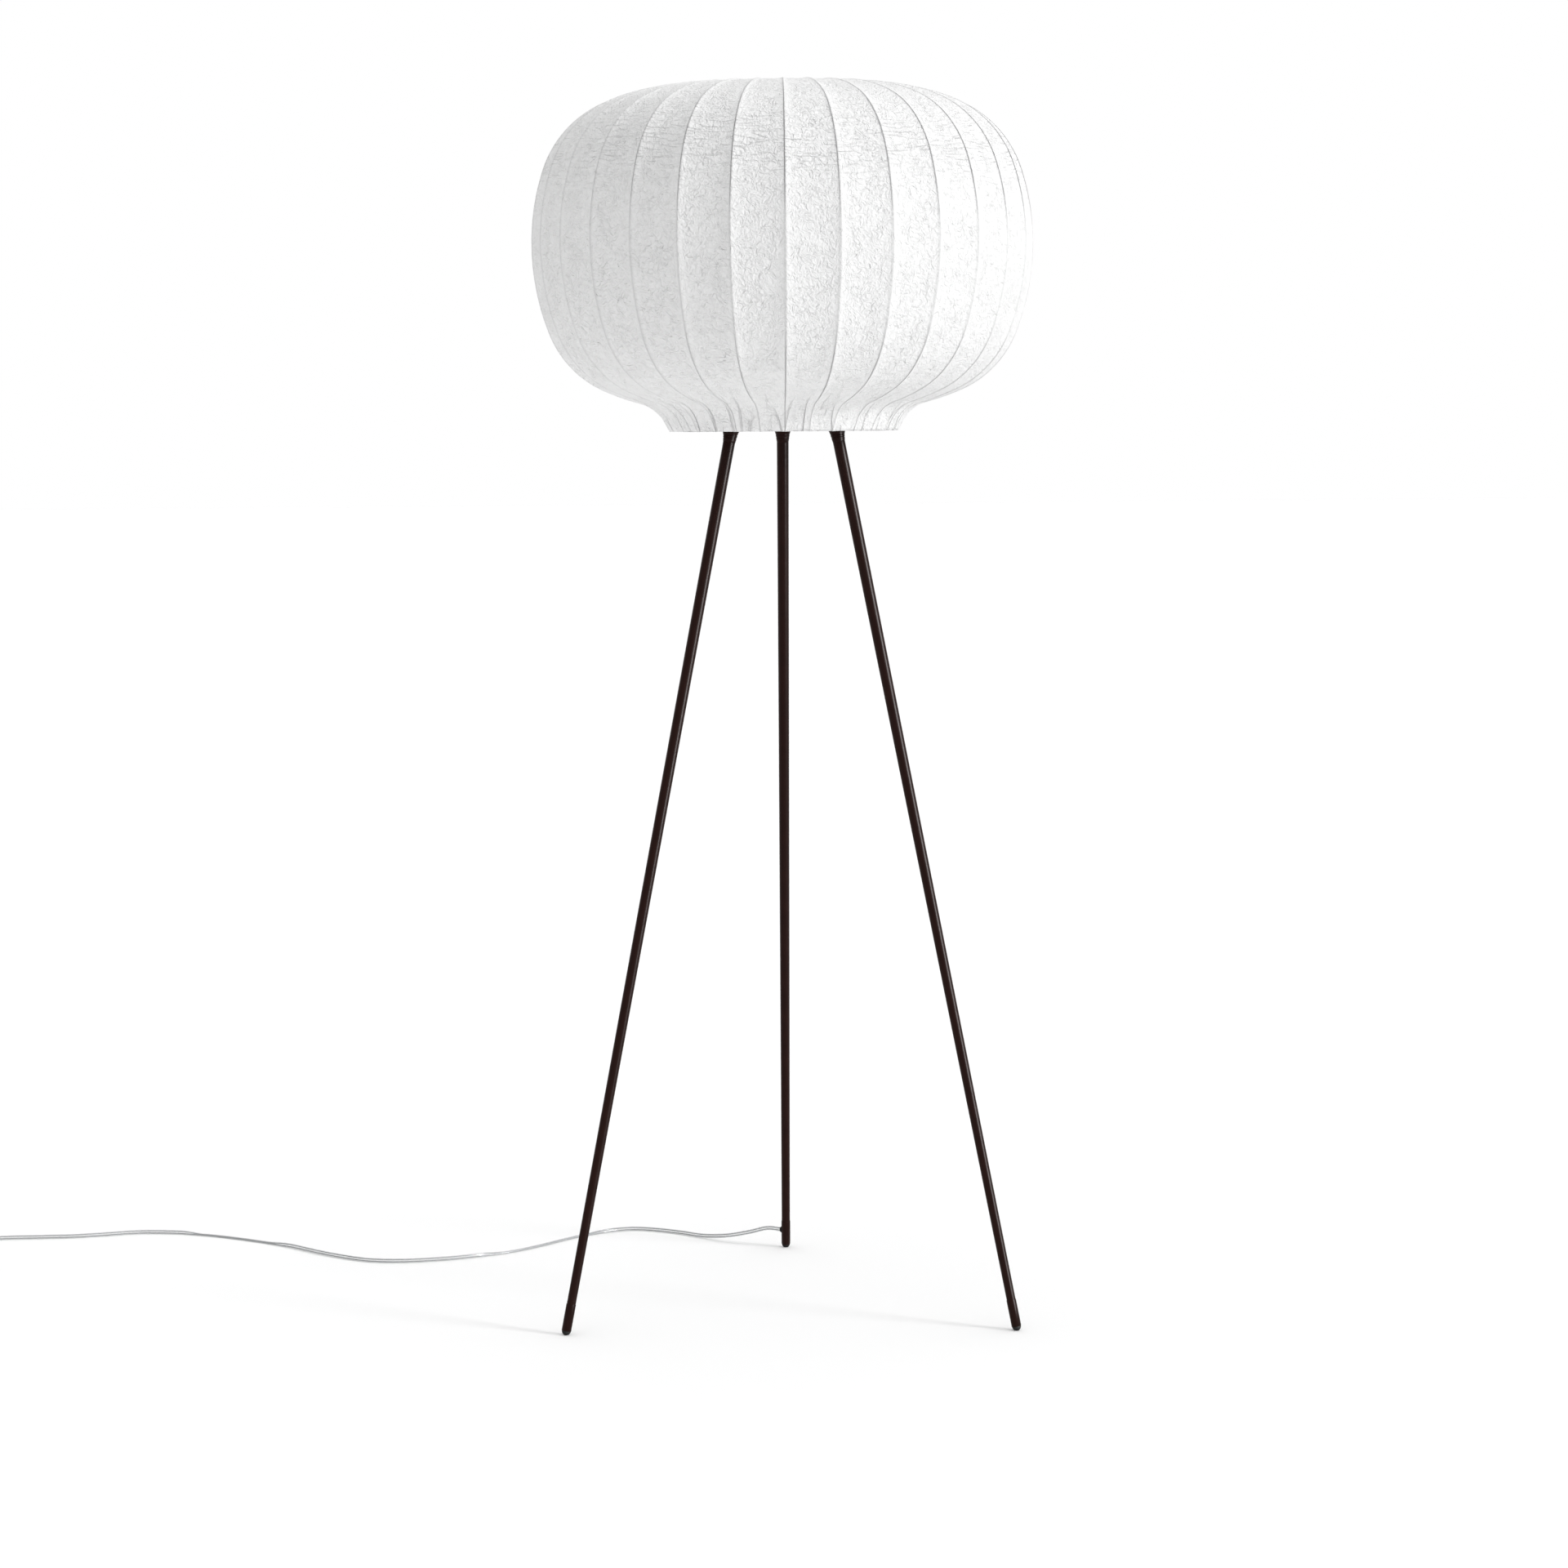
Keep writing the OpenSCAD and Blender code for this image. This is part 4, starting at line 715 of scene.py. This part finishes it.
# Dipped and baked enamel: even and slightly glossy, a little thicker here and there.
at = add(tree, "ShaderNodeTexCoord")
runs = add(tree, "ShaderNodeTexNoise", {
    "Vector": at.outputs["Object"], "Scale": repeats(8), "Detail": 1.0})
skin_bump = add(tree, "ShaderNodeBump", {
    "Height": runs.outputs["Fac"], "Strength": 0.3, "Distance": 0.2 * MM})
enamel = add(tree, "ShaderNodeBsdfPrincipled", {
    "Base Color": linear("#E9E8E5"), "Roughness": 0.35, "IOR": 1.5,
    "Normal": skin_bump.outputs["Normal"]})
tree.links.new(enamel.outputs[0], out.inputs["Surface"])

# A rib lies this far under the outline, in millimetres. It follows every third row of the sheet and
# ends just above the rim.
rib_wire_r = 1.0
rib_depth = 0.6 + rib_wire_r
rib_section = circle(rib_wire_r, wire_sides)
rib_line = [p - rib_depth * n for p, n in outline[:-2:3]]
ribs = []
for i in range(rib_count):
    turn = gore_turn * i - math.pi / 2
    out_way = Vector((math.cos(turn), math.sin(turn), 0))
    sideways = out_way.cross(upright)
    line = [(out_way * p[0] + upright * (widest_h + p[1])) * MM for p in rib_line]
    rings = []
    for j, here in enumerate(line):
        up = sideways.cross(ahead_at(line, j))
        rings.append([here + (sideways * x + up * y) * MM for x, y in rib_section])
    ribs.append(skin_over(rings))
rib_wires = mesh_piece("rib_wires", ribs, white_enamel)
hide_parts("shade_ribs")
finish_cad(["top_ring", "rim_ring"], white_enamel)

# --- The legs, the hub and the stem -----------------------------------------------------------
# Tapered steel tubes. A turned socket plugs into the top of each, and its stud bolts up through the
# hub plate, which carries the lampholder's stem. A sleeve with a rubber tip plugs into each foot.
# All the steel is lacquered brown.
brown_lacquer, tree, out = start_material("dark_brown_satin_lacquer")
# Sprayed and baked lacquer on drawn tube: satin, with a fine orange peel and slow changes of tone.
at = add(tree, "ShaderNodeTexCoord")
peel = add(tree, "ShaderNodeTexNoise", {
    "Vector": at.outputs["Object"], "Scale": repeats(1.1), "Detail": 2.0})
peel_bump = add(tree, "ShaderNodeBump", {
    "Height": peel.outputs["Fac"], "Strength": 0.35, "Distance": 0.05 * MM})
shade_noise = add(tree, "ShaderNodeTexNoise", {
    "Vector": at.outputs["Object"], "Scale": repeats(17), "Detail": 3.0})
brown = add(tree, "ShaderNodeMix", {
    "Factor": shade_noise.outputs["Fac"], 6: linear("#1A0B08"),
    7: linear("#25110D")}, data_type="RGBA")
worn = add(tree, "ShaderNodeMapRange", {
    "Value": shade_noise.outputs["Fac"], "To Min": 0.26, "To Max": 0.34})
lacquer = add(tree, "ShaderNodeBsdfPrincipled", {
    "Base Color": brown.outputs[2], "Roughness": worn.outputs[0], "IOR": 1.47,
    "Specular IOR Level": 0.07, "Normal": peel_bump.outputs["Normal"]})
tree.links.new(lacquer.outputs[0], out.inputs["Surface"])
finish_cad(["leg_left", "leg_right", "leg_back", "hub_plate", "stem_flange", "stem_tube"],
           brown_lacquer)

# Distances are in millimetres along a leg, from the middle of its tip, as in the part's source.
leg_axis = math.hypot(foot_circle - socket_circle, rim_h - tip_h) / MM
round_sides = 48


def turned(rings, turn):
    """A solid of rings round a leg's line, each with its radius, its centre and its tilt."""
    place = (Matrix.Rotation(math.radians(turn), 4, "Z") @ Matrix.Translation((0, foot_circle, tip_h))
             @ Matrix.Rotation(leg_lean, 4, "X"))
    placed = []
    for r, centre, tilt in rings:
        flat = Matrix.Rotation(-leg_lean * tilt, 4, "X")
        placed.append([place @ ((Vector(centre) + flat @ Vector((x, y, 0))) * MM)
                       for x, y in circle(r, round_sides)])
    return skin_over(placed)


# A socket: radius at each depth below the hub plate, flared at the lip, with two turned grooves.
# Its rings lie level at the plate and come square to the leg further down.
socket_shape = [(13.5, 6.8), (13.4, 7.3), (13.1, 7.45), (11, 7.75), (8.5, 8.12), (8.3, 7.85),
                (7.7, 7.85), (7.5, 8.27), (5.4, 8.6), (5.2, 8.3), (4.6, 8.3), (4.4, 8.75), (3, 9.05),
                (1.9, 9.4), (1.2, 9.75), (0.9, 9.8), (0.2, 9.8), (0, 9.6)]
square_from, level_over = 12.5, 9.5
# Its hollow stud stands through the plate, with a rolled thread, 1 mm from turn to turn.
stud_top = 11.0
half_pitch, crest_r, root_r = 0.5, 4.95, 4.55
thread_steps = range(1, int(stud_top / half_pitch))
thread = [(-half_pitch * k, crest_r if k % 2 else root_r) for k in thread_steps]
hollow_end = [(-stud_top, 4.2), (-stud_top, 3.6), (-stud_top + 4, 3.5)]
# A foot sleeve: radius at each height above the tip's middle, with rounded rims and a fine joint
# to the tube above it.
sleeve_len, sleeve_r = 33.0, 5.8
sleeve_shape = [(-0.2, 5.2), (0, 5.55), (0.4, sleeve_r), (sleeve_len - 1.2, sleeve_r),
                (sleeve_len - 0.5, 5.65), (sleeve_len - 0.2, 5.3), (sleeve_len + 0.2, 5.3)]
for side, turn in (("left", 120), ("right", 240), ("back", 0)):
    rings = []
    for depth, r in socket_shape + thread + hollow_end:
        level = min(1.0, max(0.0, (square_from - depth) / level_over))
        rise = max(0.0, -depth)
        up_leg = leg_axis - max(0.0, depth) + rise * math.cos(leg_lean)
        rings.append((r, (0, rise * math.sin(leg_lean), up_leg), level))
    socket = mesh_piece("socket_" + side, [turned(rings, turn)], brown_lacquer, smooth=32)
    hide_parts("leg_socket_" + side)
    rings = [(r, (0, 0, up_leg), 0) for up_leg, r in sleeve_shape]
    sleeve = mesh_piece("sleeve_" + side, [turned(rings, turn)], brown_lacquer, smooth=32)
    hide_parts("foot_sleeve_" + side)

finish_cad(["foot_tip_left", "foot_tip_right", "foot_tip_back"], black_rubber)

# --- Fixings ----------------------------------------------------------------------------------
# Steel nuts on the legs' studs, screws through the stem's flange, and clips bent from strip that
# hold the lantern's rim ring to the hub plate. All are zinc plated.
zinc, tree, out = start_material("zinc_plated_steel")
# Bright zinc: cool silver with soft cloudy patches.
at = add(tree, "ShaderNodeTexCoord")
cloud = add(tree, "ShaderNodeTexNoise", {
    "Vector": at.outputs["Object"], "Scale": repeats(4), "Detail": 3.0})
tone = add(tree, "ShaderNodeMix", {
    "Factor": cloud.outputs["Fac"], 6: linear("#A9ACB0"), 7: linear("#C9CCD0")}, data_type="RGBA")
dull = add(tree, "ShaderNodeMapRange", {
    "Value": cloud.outputs["Fac"], "To Min": 0.28, "To Max": 0.45})
plate = add(tree, "ShaderNodeBsdfPrincipled", {
    "Base Color": tone.outputs[2], "Metallic": 1.0, "Roughness": dull.outputs[0]})
tree.links.new(plate.outputs[0], out.inputs["Surface"])
finish_cad(["rim_clips", "clip_screws", "socket_nuts", "flange_screws", "stem_nut"], zinc)

# --- The lampholder and the bulb --------------------------------------------------------------
# A heat-proof black holder on the stem, with a ceramic insert that carries the brass screw shell
# and contact. A white globe bulb, cemented in a plastic collar, screws in with its nickel-plated cap.
phenolic, tree, out = start_material("black_phenolic_moulding")
# Compression-moulded resin: deep black, a soft gloss and faint flow marks.
at = add(tree, "ShaderNodeTexCoord")
flow = add(tree, "ShaderNodeTexNoise", {
    "Vector": at.outputs["Object"], "Scale": repeats(7), "Detail": 4.0})
gloss = add(tree, "ShaderNodeMapRange", {
    "Value": flow.outputs["Fac"], "To Min": 0.22, "To Max": 0.38})
tone = add(tree, "ShaderNodeMix", {
    "Factor": flow.outputs["Fac"], 6: linear("#0B0B0B"), 7: linear("#1A1918")}, data_type="RGBA")
resin = add(tree, "ShaderNodeBsdfPrincipled", {
    "Base Color": tone.outputs[2], "Roughness": gloss.outputs[0], "IOR": 1.6})
tree.links.new(resin.outputs[0], out.inputs["Surface"])
finish_cad(["holder_cap", "holder_skirt", "holder_ring"], phenolic)

steatite, tree, out = start_material("white_steatite_ceramic")
# Pressed and fired ceramic, unglazed: chalky white with fine pores, whose pits are painted darker as
# shade. The pores are really about 0.05 mm wide, and are drawn coarser so that they show.
at = add(tree, "ShaderNodeTexCoord")
pores = add(tree, "ShaderNodeTexNoise", {
    "Vector": at.outputs["Object"], "Scale": repeats(0.8), "Detail": 3.0})
pitted = add(tree, "ShaderNodeBump", {
    "Height": pores.outputs["Fac"], "Strength": 0.4, "Distance": 0.05 * MM})
# The pores' pits, where the bump is low, get the darker colour: painted shade.
tone = add(tree, "ShaderNodeMix", {
    "Factor": pores.outputs["Fac"], 6: linear("#D9D4C9"), 7: linear("#ECE8DF")}, data_type="RGBA")
fired = add(tree, "ShaderNodeBsdfPrincipled", {
    "Base Color": tone.outputs[2], "Roughness": 0.7, "Normal": pitted.outputs["Normal"]})
tree.links.new(fired.outputs[0], out.inputs["Surface"])
finish_cad(["holder_insert"], steatite)

brass, tree, out = start_material("rolled_brass")
# Thin rolled brass: warm, with slightly browned patches.
at = add(tree, "ShaderNodeTexCoord")
patch = add(tree, "ShaderNodeTexNoise", {
    "Vector": at.outputs["Object"], "Scale": repeats(5.5), "Detail": 3.0})
tone = add(tree, "ShaderNodeMix", {
    "Factor": patch.outputs["Fac"], 6: linear("#B08A48"), 7: linear("#D9B56A")}, data_type="RGBA")
sheet_metal = add(tree, "ShaderNodeBsdfPrincipled", {
    "Base Color": tone.outputs[2], "Metallic": 1.0, "Roughness": 0.32})
tree.links.new(sheet_metal.outputs[0], out.inputs["Surface"])
finish_cad(["screw_shell", "centre_contact"], brass)

nickel, tree, out = start_material("nickel_plated_cap")
# Nickel over rolled brass: bright, with handling marks.
at = add(tree, "ShaderNodeTexCoord")
marks = add(tree, "ShaderNodeTexNoise", {
    "Vector": at.outputs["Object"], "Scale": repeats(2.5), "Detail": 2.0})
dull = add(tree, "ShaderNodeMapRange", {
    "Value": marks.outputs["Fac"], "To Min": 0.16, "To Max": 0.34})
plating = add(tree, "ShaderNodeBsdfPrincipled", {
    "Base Color": linear("#C9C6BE"), "Metallic": 1.0, "Roughness": dull.outputs[0]})
tree.links.new(plating.outputs[0], out.inputs["Surface"])
finish_cad(["bulb_screw_cap", "bulb_contact"], nickel)

opal, tree, out = start_material("opal_glass_blown")
# White coated glass: smooth and bright, with a faint milky unevenness.
at = add(tree, "ShaderNodeTexCoord")
milk = add(tree, "ShaderNodeTexNoise", {
    "Vector": at.outputs["Object"], "Scale": repeats(33), "Detail": 2.0})
tone = add(tree, "ShaderNodeMix", {
    "Factor": milk.outputs["Fac"], 6: linear("#EFEEEA"), 7: linear("#F8F8F6")}, data_type="RGBA")
glass = add(tree, "ShaderNodeBsdfPrincipled", {
    "Base Color": tone.outputs[2], "Roughness": 0.12, "IOR": 1.5, "Coat Weight": 0.5,
    "Coat Roughness": 0.05})
tree.links.new(glass.outputs[0], out.inputs["Surface"])
finish_cad(["bulb_globe"], opal)

white_abs, tree, out = start_material("white_abs_moulded")
# Injection-moulded ABS: clean white, a low gloss and a fine spark-eroded grain. The real grain is
# about 0.1 mm, and is drawn coarser so that it shows.
at = add(tree, "ShaderNodeTexCoord")
grain = add(tree, "ShaderNodeTexNoise", {
    "Vector": at.outputs["Object"], "Scale": repeats(0.7), "Detail": 2.0})
grained = add(tree, "ShaderNodeBump", {
    "Height": grain.outputs["Fac"], "Strength": 0.25, "Distance": 0.04 * MM})
tint = add(tree, "ShaderNodeTexNoise", {
    "Vector": at.outputs["Object"], "Scale": repeats(25), "Detail": 2.0})
tone = add(tree, "ShaderNodeMix", {
    "Factor": tint.outputs["Fac"], 6: linear("#EAEAE8"), 7: linear("#F2F2F0")}, data_type="RGBA")
abs_shell = add(tree, "ShaderNodeBsdfPrincipled", {
    "Base Color": tone.outputs[2], "Roughness": 0.34, "IOR": 1.54,
    "Normal": grained.outputs["Normal"]})
tree.links.new(abs_shell.outputs[0], out.inputs["Surface"])
finish_cad(["bulb_collar"], white_abs)

# --- The foot switch, the plug and the coil's strap -------------------------------------------
# The switch is a white moulded base and housing, screwed together round a contact block, a
# spring and a grey button. Its bend reliefs and the plug are moulded soft round the lead, and a
# plastic strap holds the coil.
finish_cad(["switch_base", "switch_housing"], white_abs)
finish_cad(["switch_block"], phenolic)
finish_cad(["switch_screws", "switch_spring", "plug_pins"], zinc)

grey_abs, tree, out = start_material("grey_abs_moulded")
# The same plastic in light grey, with smoother and duller patches from use.
at = add(tree, "ShaderNodeTexCoord")
grain = add(tree, "ShaderNodeTexNoise", {
    "Vector": at.outputs["Object"], "Scale": repeats(1.1), "Detail": 2.0})
tone = add(tree, "ShaderNodeMix", {
    "Factor": grain.outputs["Fac"], 6: linear("#A7A9AB"), 7: linear("#B5B7B9")}, data_type="RGBA")
worn = add(tree, "ShaderNodeMapRange", {
    "Value": grain.outputs["Fac"], "To Min": 0.3, "To Max": 0.42})
abs_button = add(tree, "ShaderNodeBsdfPrincipled", {
    "Base Color": tone.outputs[2], "Roughness": worn.outputs[0], "IOR": 1.54})
tree.links.new(abs_button.outputs[0], out.inputs["Surface"])
finish_cad(["switch_button", "cord_tie"], grey_abs)

soft_pvc, tree, out = start_material("white_soft_pvc")
# Soft moulded PVC: white, slightly waxy.
at = add(tree, "ShaderNodeTexCoord")
wax = add(tree, "ShaderNodeTexNoise", {
    "Vector": at.outputs["Object"], "Scale": repeats(5), "Detail": 2.0})
tone = add(tree, "ShaderNodeMix", {
    "Factor": wax.outputs["Fac"], 6: linear("#E7E7E4"), 7: linear("#F0F0EE")}, data_type="RGBA")
dull = add(tree, "ShaderNodeMapRange", {
    "Value": wax.outputs["Fac"], "To Min": 0.45, "To Max": 0.58})
soft = add(tree, "ShaderNodeBsdfPrincipled", {
    "Base Color": tone.outputs[2], "Roughness": dull.outputs[0], "IOR": 1.53})
tree.links.new(soft.outputs[0], out.inputs["Surface"])
finish_cad(["switch_boots", "plug_body"], soft_pvc)
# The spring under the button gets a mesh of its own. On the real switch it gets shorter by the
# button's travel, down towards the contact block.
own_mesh(cad["switch_spring"])
